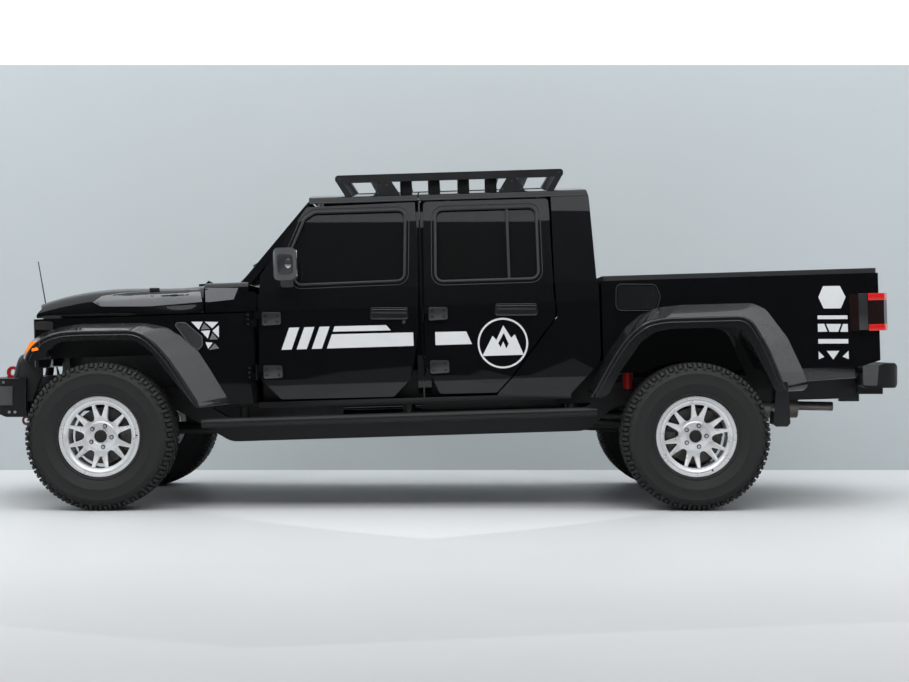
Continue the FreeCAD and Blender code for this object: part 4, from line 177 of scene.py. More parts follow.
def as_mesh(name, bm):
    mesh = bpy.data.meshes.new(name)
    bm.to_mesh(mesh)
    bm.free()
    return mesh


def shown(name, data):
    """A new object of the scene."""
    made = bpy.data.objects.new(name, data)
    bpy.context.scene.collection.objects.link(made)
    return made


def join(*meshes):
    """One bmesh from several."""
    whole = meshes[0]
    for other in meshes[1:]:
        mesh = as_mesh("part", other)
        whole.from_mesh(mesh)
        bpy.data.meshes.remove(mesh)
    return whole


def doubled(bm):
    """The left half of a piece and its mirror image."""
    return join(bm, mirrored(bm.copy(), -1))


def rounded(points, radius, steps=5):
    """Outline with its corners rounded by arcs."""
    out = []
    for index, point in enumerate(points):
        here = Vector(point)
        back = Vector(points[index - 1]) - here
        ahead = Vector(points[(index + 1) % len(points)]) - here
        angle = back.angle(ahead)
        if radius <= 0 or angle > math.pi - 0.02:
            out.append(here)
            continue
        reach = min(radius / math.tan(angle / 2), 0.48 * back.length, 0.48 * ahead.length)
        arc = reach * math.tan(angle / 2)
        middle = (back.normalized() + ahead.normalized()).normalized()
        centre = here + middle * (arc / math.sin(angle / 2))
        start = here + back.normalized() * reach - centre
        end = here + ahead.normalized() * reach - centre
        turn = start.angle_signed(end)
        for step in range(steps + 1):
            out.append(centre + Matrix.Rotation(-turn * step / steps, 2) @ start)
    return out


def extruded(bm, faces):
    """Pushes faces out of themselves and gives their new points."""
    made = bmesh.ops.extrude_face_region(bm, geom=faces)
    return [item for item in made["geom"] if isinstance(item, bmesh.types.BMVert)]


def bevelled(bm, edges, offset, segments):
    bmesh.ops.bevel(bm, geom=edges, offset=offset, offset_type="OFFSET", segments=segments, profile=0.5,
                    affect="EDGES", material=-1, clamp_overlap=True)
    return bm


def filled(outlines, place=HERE):
    """Flat faces between outlines of the side view, in a new bmesh."""
    bm = fresh()
    edges = []
    for outline in outlines:
        verts = [bm.verts.new(place @ Vector((u, 0, v))) for u, v in outline]
        edges += [bm.edges.new(pair) for pair in zip(verts, verts[1:] + verts[:1])]
    bmesh.ops.triangle_fill(bm, use_beauty=True, edges=edges, normal=(0, 1, 0))
    return bm


def slab(bm, outline, low, high, axis="y", bevel=0.0, segments=2):
    """Pushes an outline through the thickness between low and high along an axis."""
    def lift(u, v, w):
        return {"x": (w, u, v), "y": (u, w, v), "z": (u, v, w)}[axis]
    verts = [bm.verts.new(lift(u, v, low)) for u, v in outline]
    moved = extruded(bm, [bm.faces.new(verts)])
    bmesh.ops.translate(bm, verts=moved, vec=Vector(lift(0, 0, high - low)))
    made = set(verts) | set(moved)
    faces = [f for f in bm.faces if set(f.verts) <= made]
    bmesh.ops.recalc_face_normals(bm, faces=faces)
    if bevel:
        edges = {e for f in faces for e in f.edges if e.calc_face_angle(0) > 0.6}
        bevelled(bm, list(edges), bevel, segments)
    return bm


def brick(bm, low, high, bevel=0.0, segments=2):
    return slab(bm, [(low[0], low[2]), (high[0], low[2]), (high[0], high[2]), (low[0], high[2])],
                low[1], high[1], "y", bevel, segments)


def lathe(profile, steps=96, closed=True):
    """Turns a profile of (radius, along) round the Y axis, in a new bmesh."""
    bm = fresh()
    verts = [bm.verts.new((r, y, 0)) for r, y in profile]
    ends = verts[1:] + verts[:1] if closed else verts[1:]
    edges = [bm.edges.new(pair) for pair in zip(verts, ends)]
    bmesh.ops.spin(bm, geom=verts + edges, cent=(0, 0, 0), axis=(0, 1, 0), angle=2 * math.pi, steps=steps,
                   use_merge=True)
    bmesh.ops.remove_doubles(bm, verts=bm.verts, dist=1e-6)
    return bm


def rod(bm, start, end, radius, segments=16, taper=1.0):
    """A round bar between two points."""
    start, end = Vector(start), Vector(end)
    run = end - start
    place = Matrix.Translation((start + end) / 2) @ run.to_track_quat("Z", "Y").to_matrix().to_4x4()
    bmesh.ops.create_cone(bm, cap_ends=True, segments=segments, radius1=radius, radius2=radius * taper,
                          depth=run.length, matrix=place)
    return bm


def bolt(bm, x, y, z, radius=0.0075, height=0.005, sides=6):
    """A bolt's head on a face that looks to the left."""
    return rod(bm, (x, y - 0.001, z), (x, y + height, z), radius, sides)


def soften(points, bend, cyclic, steps=6):
    """Points of a path with its corners rounded."""
    points = [Vector(p) for p in points]
    if not bend:
        return points
    out = []
    last = len(points) - 1
    for index, here in enumerate(points):
        if not cyclic and index in (0, last):
            out.append(here)
            continue
        before, after = points[index - 1], points[(index + 1) % len(points)]
        reach = min(bend, 0.45 * (before - here).length, 0.45 * (after - here).length)
        start = here + (before - here).normalized() * reach
        end = here + (after - here).normalized() * reach
        for step in range(steps + 1):
            t = step / steps
            out.append(start * (1 - t) ** 2 + here * 2 * t * (1 - t) + end * t ** 2)
    return out


def pipe(points, radius, cyclic=False, bend=0.0, sides=3):
    """A tube mesh along straight runs with rounded corners, in a new bmesh."""
    curve = bpy.data.curves.new("path", "CURVE")
    curve.dimensions = "3D"
    curve.bevel_depth = radius
    curve.bevel_resolution = sides
    curve.use_fill_caps = not cyclic
    spline = curve.splines.new("POLY")
    path = soften(points, bend, cyclic)
    spline.points.add(len(path) - 1)
    for point, place in zip(spline.points, path):
        point.co = (*place, 1)
    spline.use_cyclic_u = cyclic
    holder = bpy.data.objects.new("path", curve)
    mesh = bpy.data.meshes.new_from_object(holder)
    bm = bmesh.new()
    bm.from_mesh(mesh)
    bmesh.ops.remove_doubles(bm, verts=bm.verts, dist=1e-6)
    bpy.data.objects.remove(holder)
    bpy.data.curves.remove(curve)
    bpy.data.meshes.remove(mesh)
    return bm


def polar(radius, degrees):
    return Vector((radius * math.cos(math.radians(degrees)), radius * math.sin(math.radians(degrees))))


def arc_points(radius, start, end, steps):
    return [polar(radius, start + (end - start) * step / steps) for step in range(steps + 1)]


def circle(x, z, radius, steps=48):
    return [Vector((x, z)) + point for point in arc_points(radius, 0, 360, steps)[:-1]]


def ring(centre, radius, wire, across="x", steps=24, sides=2):
    """A round hoop of wire about a centre, square to an axis."""
    x, y, z = centre
    if across == "x":
        path = [(x, u, v) for u, v in circle(y, z, radius, steps)]
    else:
        path = [(u, y, v) for u, v in circle(x, z, radius, steps)]
    return pipe(path, wire, cyclic=True, sides=sides)


def put(name, bm, body, finish, place=LEAN, smooth=35, replaces=()):
    """Turns a bmesh into a finished piece that rides on a body."""
    turned(bm, place)
    bmesh.ops.recalc_face_normals(bm, faces=bm.faces)
    mesh = as_mesh(name, bm)
    mesh.shade_smooth()
    mesh.set_sharp_from_angle(angle=math.radians(smooth))
    piece = shown(name, mesh)
    mesh.materials.append(FINISH[finish])
    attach(piece, body)
    if replaces:
        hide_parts(*replaces)
    return piece


def both(name, bm, body, finish, place=LEAN, smooth=35, replaces=()):
    """Puts a piece drawn for the left on both sides; a star stands for the side in other names."""
    turned(bm, place)
    pieces = []
    for label, side in SIDES:
        half = mirrored(bm.copy(), side)
        hidden = [other.replace("*", label) for other in replaces]
        pieces.append(put(name + "_" + label, half, body.replace("*", label), finish, HERE, smooth,
                          hidden))
    bm.free()
    return pieces


# CAD nodes keep their shape and take a finish and softly shaded faces

OWN_FINISH = {"tail_lamps": "smoked_lens", "bed_cover": "interior_plastic", "mirror_left": "cap_grey",
              "mirror_right": "cap_grey"}
WELD = 0.00002
SHARP = math.radians(28)


def dress_cad_nodes():
    slots = {row["node"]: row["material_slot"] for row in frame["record"]["subparts"]}
    for name, obj in frame["nodes"].items():
        obj.data.materials.clear()
        obj.data.materials.append(FINISH[OWN_FINISH.get(name, slots[name])])
        obj.data.shade_smooth()
        obj.modifiers.new("weld", "WELD").merge_threshold = WELD
        obj.modifiers.new("edges", "EDGE_SPLIT").split_angle = SHARP


# Wheels and tyres, drawn round the Y axis with the outer face at +Y

PITCHES = 46
TREAD_TOP, TREAD_BASE = TYRE_RADIUS - 0.0005, 0.414
WINDOW_OUT = 0.186
WIDE_FOOT = ((0.113, 19.5), (0.099, 25), (0.099, 35), (0.113, 40.5))
LUG_CIRCLE, LUG_FACE = 0.064, 0.0738

# Half of the casing as (radius, across), and tread outlines as (share of a pitch, across)
CASING = [
    (0.2385, 0.106), (0.24, 0.121), (0.244, 0.1295), (0.25, 0.1318), (0.256, 0.13), (0.262, 0.1335),
    (0.28, 0.1455), (0.305, 0.1535), (0.308, 0.1556), (0.312, 0.1556), (0.315, 0.155), (0.34, 0.1578),
    (0.362, 0.157), (0.365, 0.1582), (0.369, 0.158), (0.372, 0.1555), (0.39, 0.149),
    (0.404, 0.139), (0.413, 0.124), (0.417, 0.1), (0.418, 0.05)]
INNER_ROW = [(-0.42, 0.002), (0.1, 0.002), (0.2, 0.016), (0.42, 0.02), (0.4, 0.043), (-0.04, 0.046),
             (-0.16, 0.03), (-0.42, 0.026)]
OUTER_ROW = [(-0.4, 0.052), (0.02, 0.05), (0.14, 0.064), (0.42, 0.066), (0.38, 0.09), (-0.1, 0.092),
             (-0.2, 0.078), (-0.4, 0.074)]
LONG_LUG = [(0.412, 0.098), (0.4315, 0.0985), (0.4305, 0.127), (0.424, 0.14), (0.41, 0.15),
            (0.395, 0.1545), (0.3935, 0.145), (0.406, 0.134)]
SHORT_LUG = [(0.412, 0.098), (0.4315, 0.0985), (0.43, 0.125), (0.421, 0.1385), (0.4085, 0.146),
             (0.406, 0.134)]
BARREL = [
    (0.2368, 0.1165), (0.235, 0.118), (0.217, 0.1178), (0.2155, 0.116), (0.2148, 0.1085), (0.2128, 0.1082),
    (0.212, 0.113), (0.2105, 0.1142), (0.198, 0.11), (0.19, 0.1015), (0.188, 0.094), (0.1895, 0.06),
    (0.189, -0.05), (0.198, -0.09), (0.206, -0.115), (0.237, -0.116), (0.238, -0.107),
    (0.2165, -0.106), (0.2, -0.07), (0.199, 0.06), (0.2165, 0.105), (0.2378, 0.1065)]
HUB = [(0.0, 0.071), (0.046, 0.071), (0.05, 0.0735), (0.078, 0.0735), (0.083, 0.071), (0.089, 0.068),
       (0.091, 0.0655), (0.091, 0.04), (0.07, 0.019), (0.0, 0.019)]
CENTRE_CAP = [(0.0, 0.083), (0.02, 0.0825), (0.033, 0.08), (0.0365, 0.077), (0.0368, 0.0738)]
BRAKE_DISC = [(0.05, 0.019), (0.088, 0.019), (0.09, 0.008), (0.164, 0.008), (0.165, 0.004), (0.164, -0.001),
              (0.09, -0.001), (0.05, -0.001)]


def tread_block(bm, outline):
    """A block on the tread: an outline of (around, across), from the casing out to its top."""
    top = extruded(bm, [bm.faces.new([bm.verts.new((x, y, TREAD_BASE)) for x, y in outline])])
    middle = sum((v.co for v in top), Vector()) / len(top)
    for vert in top:
        vert.co = middle + (vert.co - middle) * 0.93
        vert.co.z = TREAD_TOP


def tyre_mesh():
    """A casing, and one pitch of tread blocks and shoulder lugs repeated round it."""
    unit = fresh()
    pitch = 2 * math.pi * TYRE_RADIUS / PITCHES
    for row, shift in ((INNER_ROW, 0), (OUTER_ROW, pitch / 2)):
        tread_block(unit, [(u * pitch + shift, y) for u, y in row])
        tread_block(unit, [(-u * pitch + shift + pitch / 2, -y) for u, y in row])
    for outline, centre, width in ((LONG_LUG, 0.22, 0.3), (SHORT_LUG, -0.27, 0.34)):
        for sign, shift in ((1, 0), (-1, 0.25)):
            slab(unit, [(sign * y, r) for r, y in outline], (centre + shift - width / 2) * pitch,
                 (centre + shift + width / 2) * pitch, "x", bevel=0.0012, segments=1)
    bmesh.ops.recalc_face_normals(unit, faces=unit.faces)
    for vert in unit.verts:
        angle, radius = vert.co.x / TYRE_RADIUS, vert.co.z
        vert.co.x, vert.co.z = radius * math.sin(angle), radius * math.cos(angle)
    bmesh.ops.spin(unit, geom=unit.verts[:] + unit.edges[:] + unit.faces[:], cent=(0, 0, 0), axis=(0, 1, 0),
                   angle=2 * math.pi, steps=PITCHES, use_duplicate=True, use_merge=False)
    own = len(unit.verts) // (PITCHES + 1)
    bmesh.ops.delete(unit, geom=unit.verts[:own], context="VERTS")
    casing = lathe(CASING + [(r, -y) for r, y in reversed(CASING)], steps=92, closed=False)
    return join(casing, unit)


def spoke_disc(phase):
    """The wheel's face: six pairs of spokes between narrow and wide windows."""
    loops = [arc_points(0.196, 0, 360, 144)[:-1]]
    for number in range(6):
        base = phase + 60 * number
        narrow = [polar(0.119, base - 2.4), polar(0.119, base + 2.4)]
        narrow += arc_points(WINDOW_OUT, base + 9.5, base - 9.5, 6)
        wide = [polar(radius, base + angle) for radius, angle in WIDE_FOOT]
        wide += arc_points(WINDOW_OUT, base + 45.2, base + 14.8, 8)
        loops += [rounded(narrow, 0.005, 3), rounded(wide, 0.009, 3)]
    bm = filled(loops)
    front = set(extruded(bm, bm.faces[:]))
    for vert in bm.verts:
        radius = math.hypot(vert.co.x, vert.co.z)
        share = min(1, max(0, (radius - 0.085) / 0.1))
        face = 0.066 + 0.034 * share ** 1.4
        vert.co.y = face if vert in front else face - 0.036 + 0.012 * share
    bmesh.ops.recalc_face_normals(bm, faces=bm.faces)
    rims = [e for e in bm.edges
            if e.is_manifold and e.calc_face_angle(0) > 1.0 and all(v in front for v in e.verts)]
    return bevelled(bm, rims, 0.0018, 2)


def rim_fittings(phase):
    """Lug nuts in dark seats, centre cap and valve."""
    dark = fresh()
    bright = fresh()
    for number in range(5):
        x, z = polar(LUG_CIRCLE, phase + 11 + 72 * number)
        seat = lathe([(0.0135, LUG_FACE), (0.0135, 0.0744), (0.0088, 0.0744), (0.0088, LUG_FACE)], steps=24)
        dark = join(dark, turned(seat, Matrix.Translation((x, 0, z))))
        rod(bright, (x, LUG_FACE, z), (x, 0.086, z), 0.0088, 6)
        rod(bright, (x, 0.086, z), (x, 0.0885, z), 0.0078, 12, 0.7)
    dark = join(dark, lathe(CENTRE_CAP, steps=48, closed=False))
    x, z = polar(0.203, phase + 148)
    u, v = polar(0.222, phase + 148)
    rod(dark, (x, 0.1, z), (u, 0.121, v), 0.0042, 10)
    return dark, bright


# Each axle by its X, the phase of its wheels, what holds its calipers, and their turn
AXLES = {"front": (AXLE_X, 30, "knuckle_*", 180), "rear": (REAR_AXLE_X, 96.5, "chassis", 20)}


def dress_wheels():
    for end, (x, phase, holder, turn) in AXLES.items():
        place = Matrix.Translation((x, WHEEL_Y, WHEEL_Z))
        tail = end + "_*"
        wheel = "wheel_" + tail
        both("tread_tyre_" + end, tyre_mesh(), wheel, "tyre_rubber", place, replaces=["tyre_" + tail])
        rim = join(lathe(BARREL, steps=128), spoke_disc(phase), lathe(HUB, steps=72, closed=False))
        both("spoked_rim_" + end, rim, wheel, "wheel_silver", place, 30, ["rim_" + tail])
        dark, bright = rim_fittings(phase)
        both("wheel_cap_" + end, dark, wheel, "mesh_black", place)
        both("lug_nuts_" + end, bright, wheel, "chrome", place)
        both("brake_disc_" + end, lathe(BRAKE_DISC, steps=72), wheel, "brake_iron", place)
        outline = arc_points(0.174, -32, 32, 8) + arc_points(0.108, 32, -32, 6)
        caliper = slab(fresh(), outline, -0.028, 0.034, bevel=0.006, segments=3)
        turned(caliper, Matrix.Rotation(math.radians(turn), 4, "Y"))
        both("caliper_" + end, caliper, holder, "brake_iron", place)


# Thin graphics and plates that lie on the CAD surface, found by rays from outside

LONG_EDGE = 0.06
STRAY_HIT = 0.12


def surface_tree(*names):
    verts, faces = [], []
    for name in names:
        mesh = frame["nodes"][name].data
        start = len(verts)
        verts += [vert.co.copy() for vert in mesh.vertices]
        faces += [[start + index for index in face.vertices] for face in mesh.polygons]
    return BVHTree.FromPolygons(verts, faces)


def plate_on(tree, outlines, side, out=0.0008, sunk=0.0015, cuts=3):
    """Closed thin plates with outlines in the body's frame, projected onto the surface of a side."""
    def spot(vert):
        return round(vert.co.x, 6), round(vert.co.z, 6)

    bm = filled(outlines, LEAN)
    if cuts:
        long = [e for e in bm.edges if e.calc_length() > LONG_EDGE]
        bmesh.ops.subdivide_edges(bm, edges=long, cuts=cuts, use_grid_fill=True)
        bmesh.ops.triangulate(bm, faces=bm.faces)
    depths = {}
    for vert in bm.verts:
        hit = tree.ray_cast(vert.co + Vector((0, side * 3, 0)), Vector((0, -side, 0)))[0]
        if hit:
            depths[spot(vert)] = side * hit.y
    middle = sorted(depths.values())[len(depths) // 2] if depths else 0.8
    fronts = set(extruded(bm, bm.faces[:]))
    for vert in bm.verts:
        depth = depths.get(spot(vert), middle)
        if abs(depth - middle) > STRAY_HIT:
            depth = middle
        vert.co.y = side * (depth + (out if vert in fronts else -sunk))
    return bm


def stick(name, nodes, outlines, finish, body="chassis", slot="body_paint", **more):
    """Puts plates on the surface of both sides; a star stands for the side."""
    for label, side in SIDES:
        tree = surface_tree(*(each.replace("*", label) for each in nodes))
        plate = plate_on(tree, outlines, side, **more)
        put(name + "_" + label, plate, body.replace("*", label), finish, HERE)


def grown(outline, out):
    """The outline moved outwards on all its sides."""
    points = [Vector(p) for p in outline]
    area = sum(a.x * b.y - b.x * a.y for a, b in zip(points, points[1:] + points[:1]))
    sign = 1 if area > 0 else -1
    moved = []
    for index, here in enumerate(points):
        back = (here - points[index - 1]).normalized()
        ahead = (points[(index + 1) % len(points)] - here).normalized()
        normal_a = Vector((back.y, -back.x)) * sign
        normal_b = Vector((ahead.y, -ahead.x)) * sign
        middle = (normal_a + normal_b).normalized()
        moved.append(here + middle * (out / max(0.3, middle.dot(normal_a))))
    return moved


def grown_path(path, out):
    """An open path moved sideways, outwards from the arch."""
    foot = path[-1][1] - 0.3
    closed = [Vector(p) for p in path] + [Vector((path[-1][0], foot)), Vector((path[0][0], foot))]
    return grown(closed, out)[:len(path)]


# Doors, drawn for the left in the body's frame; half width of the cab's side at a height

SIDE_STATIONS = [(0.593, 0.772), (0.69, 0.8), (1.14, 0.8), (1.255, 0.782), (1.776, 0.66)]
HINGE_FACE = 0.8125
HINGE_HEIGHTS = (0.776, 1.092)
FRONT_WINDOW = [(-1.138, 1.481), (-1.227, 1.682), (-1.285, 1.719), (-1.828, 1.719), (-1.814, 1.297),
                (-1.17, 1.29)]
REAR_WINDOW = [(-2.004, 1.2865), (-2.0135, 1.7145), (-2.6133, 1.7145), (-2.6133, 1.2865)]
# Window, hinge pin, and the front and back of the handle and of the inner trim
DOORS = {
    "door_front": (FRONT_WINDOW, -0.929, (-1.608, -1.832), (-1.01, -1.8)),
    "door_rear": (REAR_WINDOW, -1.918, (-2.35, -2.6), (-2.0, -2.43)),
}


def slant(x, low, high, width, lean=0.05):
    return [(x, low), (x - lean, high), (x - lean - width, high), (x - width, low)]


# Plain white graphics: bars and a ridge in a ring on the doors, a stack of plain shapes on the bed
DOOR_GRAPHICS = {
    "door_front": [slant(x, 0.905, 1.035, 0.06) for x in (-1.075, -1.165, -1.255)] + [
        [(-1.345, 0.905), (-1.377, 0.988), (-1.86, 0.985), (-1.86, 0.905)],
        [(-1.383, 1.004), (-1.395, 1.035), (-1.7, 1.033), (-1.728, 1.001)]],
    "door_rear": [[(-1.99, 0.905), (-1.99, 0.983), (-2.175, 0.981), (-2.206, 0.905)]],
}
RIDGE = [
    [(-2.266, 0.832), (-2.33, 0.95), (-2.352, 0.925), (-2.395, 1.01), (-2.44, 0.935), (-2.462, 0.955),
     (-2.512, 0.832)],
    [(-2.362, 0.905), (-2.376, 0.88), (-2.392, 0.915), (-2.41, 0.872), (-2.424, 0.9), (-2.397, 0.965)],
]
RING_CENTRE = (-2.39, 0.905)
BED_GRAPHICS = [
    [(-4.27, 1.12), (-4.3, 1.185), (-4.4, 1.183), (-4.432, 1.116), (-4.402, 1.05), (-4.3, 1.052)],
    [(-4.262, 0.99), (-4.262, 1.012), (-4.44, 1.007), (-4.44, 0.985)],
    [(-4.262, 0.915), (-4.262, 0.962), (-4.3, 0.961), (-4.318, 0.914)],
    [(-4.312, 0.96), (-4.4, 0.957), (-4.382, 0.911), (-4.33, 0.913)],
    [(-4.412, 0.957), (-4.44, 0.956), (-4.44, 0.909), (-4.394, 0.911)],
    [(-4.262, 0.845), (-4.262, 0.872), (-4.44, 0.867), (-4.44, 0.84)],
    [(-4.262, 0.8), (-4.295, 0.765), (-4.262, 0.752)], [(-4.31, 0.8), (-4.385, 0.798), (-4.348, 0.748)],
    [(-4.44, 0.797), (-4.403, 0.763), (-4.44, 0.747)],
]


def side_y(z):
    for (z0, y0), (z1, y1) in zip(SIDE_STATIONS, SIDE_STATIONS[1:]):
        if z <= z1:
            return y0 + (y1 - y0) * (z - z0) / (z1 - z0)
    return SIDE_STATIONS[-1][1]


def on_side(outline, out=0.0):
    return [(x, side_y(z) + out, z) for x, z in outline]


def door_handle(front, back):
    """A scoop with a bar across it."""
    outline = rounded([(front, 1.072), (front, 1.137), (back, 1.132), (back, 1.066)], 0.016)
    scoop = slab(fresh(), outline, 0.798, 0.8012)
    edge = pipe([(x, 0.801, z) for x, z in outline], 0.003, cyclic=True, sides=2)
    grip = [(front - 0.008, 1.104), (front - 0.008, 1.13), (back + 0.004, 1.125), (back + 0.004, 1.096)]
    bar = slab(fresh(), rounded(grip, 0.01), 0.812, 0.826, bevel=0.005, segments=3)
    for x in (front - 0.022, back + 0.018):
        brick(bar, (x - 0.009, 0.799, 1.103), (x + 0.009, 0.816, 1.122), 0.003)
    return scoop, join(edge, bar)


def hinge_leaves(pin_x):
    """Plates on the hinge straps with four bolts each."""
    plates, bolts = fresh(), fresh()
    near, far = pin_x - 0.036, pin_x - 0.15
    for height in HINGE_HEIGHTS:
        leaf = [(near, height - 0.04), (near, height + 0.04), (far, height + 0.036), (far, height - 0.036)]
        slab(plates, rounded(leaf, 0.012), 0.809, HINGE_FACE, bevel=0.0012)
        for x in (pin_x - 0.058, pin_x - 0.128):
            for lift in (-0.02, 0.02):
                bolt(bolts, x, HINGE_FACE, height + lift, 0.007, 0.0035)
    return plates, bolts


def inner_trim(front, back):
    """Trim panel, armrest, pull handle and speaker ring on a door's inner side."""
    outline = [(front, 0.7), (front, 1.19), (back, 1.19), (back, 0.76), (back + 0.06, 0.7)]
    panel = slab(fresh(), rounded(outline, 0.03), 0.6945, 0.702, bevel=0.002)
    armrest = [(front - 0.14, 0.965), (front - 0.14, 1.005), (back + 0.05, 1.03), (back + 0.05, 0.975)]
    slab(panel, rounded(armrest, 0.015), 0.65, 0.697, bevel=0.008, segments=3)
    speaker = ring((front - 0.13, 0.694, 0.8), 0.07, 0.005, "y", 32)
    x = (front + back) / 2 - 0.02
    pull = pipe([(x, 0.69, 1.08), (x, 0.655, 1.08), (x, 0.655, 1.15), (x, 0.69, 1.15)], 0.008, bend=0.02)
    return join(panel, speaker, pull)


def dress_doors():
    for door, (window, pin_x, handle, trim) in DOORS.items():
        body = door + "_*"
        rings = []
        for outset, radius, out in ((0.003, 0.0085, 0.0), (0.026, 0.003, 0.001)):
            path = on_side(rounded(grown(window, outset), 0.042 + outset), out)
            rings.append(pipe(path, radius, cyclic=True, sides=2))
        both("window_rubber_" + door, join(*rings), body, "seal")
        scoop, bar = door_handle(*handle)
        both("handle_scoop_" + door, scoop, body, "mesh_black")
        both("handle_" + door, bar, body, "flare_plastic")
        plates, bolts = hinge_leaves(pin_x)
        both("hinge_plates_" + door, plates, body, "hinge_satin")
        both("hinge_bolts_" + door, bolts, body, "satin_black_steel")
        stick("graphics_" + door, [body], DOOR_GRAPHICS[door], "vinyl_white", body)
        both("trim_panel_" + door, inner_trim(*trim), body, "interior_plastic")


def dress_rear_doors():
    body = "door_rear_*"
    rims = [circle(*RING_CENTRE, radius) for radius in (0.15, 0.139)]
    stick("ring_graphic", [body], rims, "vinyl_white", body)
    stick("ridge_graphic", [body], RIDGE, "vinyl_white", body, cuts=0)
    divider = pipe(on_side([(-2.44, 1.29), (-2.44, 1.5), (-2.44, 1.712)], -0.004), 0.009, sides=2)
    both("window_divider", divider, body, "seal")


def dress_front_doors():
    """Locks, and the glass, cap and small lamp of the mirrors."""
    body = "door_front_*"
    lock = rod(fresh(), (-1.807, 0.799, 1.049), (-1.807, 0.8045, 1.049), 0.0105, 24)
    rod(lock, (-1.807, 0.804, 1.049), (-1.807, 0.8055, 1.049), 0.006, 16)
    both("door_lock", lock, body, "chrome")
    glass = rounded([(0.862, 1.328), (0.862, 1.488), (0.94, 1.488), (0.94, 1.328)], 0.018)
    mirror = slab(fresh(), glass, -1.1955, -1.1915, "x", bevel=0.0008, segments=1)
    both("mirror_glass", mirror, body, "mirror_glass")
    cap = rounded([(-1.085, 1.345), (-1.078, 1.47), (-1.172, 1.462), (-1.172, 1.35)], 0.022)
    both("mirror_cap", slab(fresh(), cap, 0.948, 0.9525, bevel=0.002), body, "hinge_satin")
    lens = [(0.0, 0.0), (0.018, 0.0006), (0.022, -0.001), (0.022, -0.004), (0.0, -0.004)]
    spot = lathe(lens, 32, closed=False)
    turned(spot, Matrix.Translation((-1.144, 0.9545, 1.409)) @ Matrix.Diagonal((0.85, 1, 1.25, 1)))
    both("mirror_spot", spot, body, "chrome")


# Front wings, flares, wheel houses, hood and nose

def arch(x, z, run, rise, shares):
    return [(x + u * run, z + v * rise) for u, v in shares]


FRONT_LIP = arch(-0.5789, 0.5795, 0.8597, 0.4178, [
    (1.15, 0.735), (1.138, 0.82), (1.1, 0.93), (1.03, 1.04), (0.92, 1.108), (0.8, 1.118),
    (0.433, 1.109), (0.352, 1.055), (0.28, 0.935), (0.19, 0.72), (0.11, 0.47), (-0.008, 0.072)])
REAR_LIP = arch(-2.984, 0.569, -1.01088, 0.38621, [
    (-0.085, 0.01), (0.04, 0.56), (0.11, 0.82), (0.175, 0.99), (0.245, 1.11), (0.351, 1.161),
    (0.803, 1.155), (0.86, 1.06), (0.942, 0.674), (0.996, 0.306), (1.038, 0.01)])
LIP_FACE = 0.9365
FLARE_REACH = 0.925
WING_FACE = 0.7985
HOUSE_ROOF = 0.895
FACETS_WHITE = [
    [(-0.545, 1.088), (-0.612, 1.086), (-0.588, 1.04)], [(-0.625, 1.086), (-0.705, 1.082), (-0.668, 1.046)],
    [(-0.6, 1.032), (-0.655, 1.034), (-0.64, 0.985)], [(-0.668, 1.03), (-0.708, 1.062), (-0.706, 0.99)],
    [(-0.625, 0.965), (-0.668, 0.96), (-0.64, 0.925)],
]
FACETS_GREY = [
    [(-0.6, 1.04), (-0.62, 1.076), (-0.655, 1.042)], [(-0.65, 0.978), (-0.668, 1.02), (-0.7, 0.98)],
    [(-0.645, 0.918), (-0.68, 0.955), (-0.706, 0.925)],
]
WING_VENT = [(-0.44, 1.082), (-0.508, 1.08), (-0.602, 0.995), (-0.602, 0.95), (-0.578, 0.922),
             (-0.536, 0.952)]
VENT_RIM = [(-0.438, 1.085), (-0.509, 1.083), (-0.606, 0.996), (-0.606, 0.948), (-0.579, 0.917),
             (-0.533, 0.95)]
HOOD_BLADE = [(0.066, 1.226), (0.012, 1.262), (-0.108, 1.277), (-0.288, 1.283), (-0.588, 1.286),
              (-0.604, 1.206), (-0.285, 1.19), (-0.046, 1.196), (0.014, 1.199)]
COWL_BLADE = [(-0.625, 1.288), (-0.826, 1.281), (-0.796, 1.214), (-0.645, 1.203), (-0.625, 1.205)]
WING_MESH = [(0.336, 1.12), (0.277, 1.112), (0.277, 1.062), (0.386, 1.07), (0.38, 1.116)]
MARKER = [(0.392, 1.004), (0.322, 1.006), (0.334, 0.946), (0.418, 0.936)]


def dress_flares():
    beads = [pipe([(x, y, z) for x, z in grown_path(lip, inset)], radius, bend=0.05, sides=2)
             for lip in (FRONT_LIP, REAR_LIP)
             for inset, radius, y in ((0.003, 0.0055, 0.933), (-0.02, 0.0035, LIP_FACE))]
    both("flare_beads", join(*beads), "chassis", "flare_plastic")
    bolts = fresh()
    for lip in (FRONT_LIP, REAR_LIP):
        for (x0, z0), (x1, z1) in zip(lip[1:-1], lip[2:]):
            bolt(bolts, (x0 + x1) / 2, LIP_FACE, (z0 + z1) / 2 - 0.016, 0.005, 0.0025, 12)
    both("flare_bolts", bolts, "chassis", "satin_black_steel")
    stick("marker_lens", ["wheel_flares", "side_markers"], [rounded(MARKER, 0.008)], "amber_lens", slot=None,
          out=0.003)


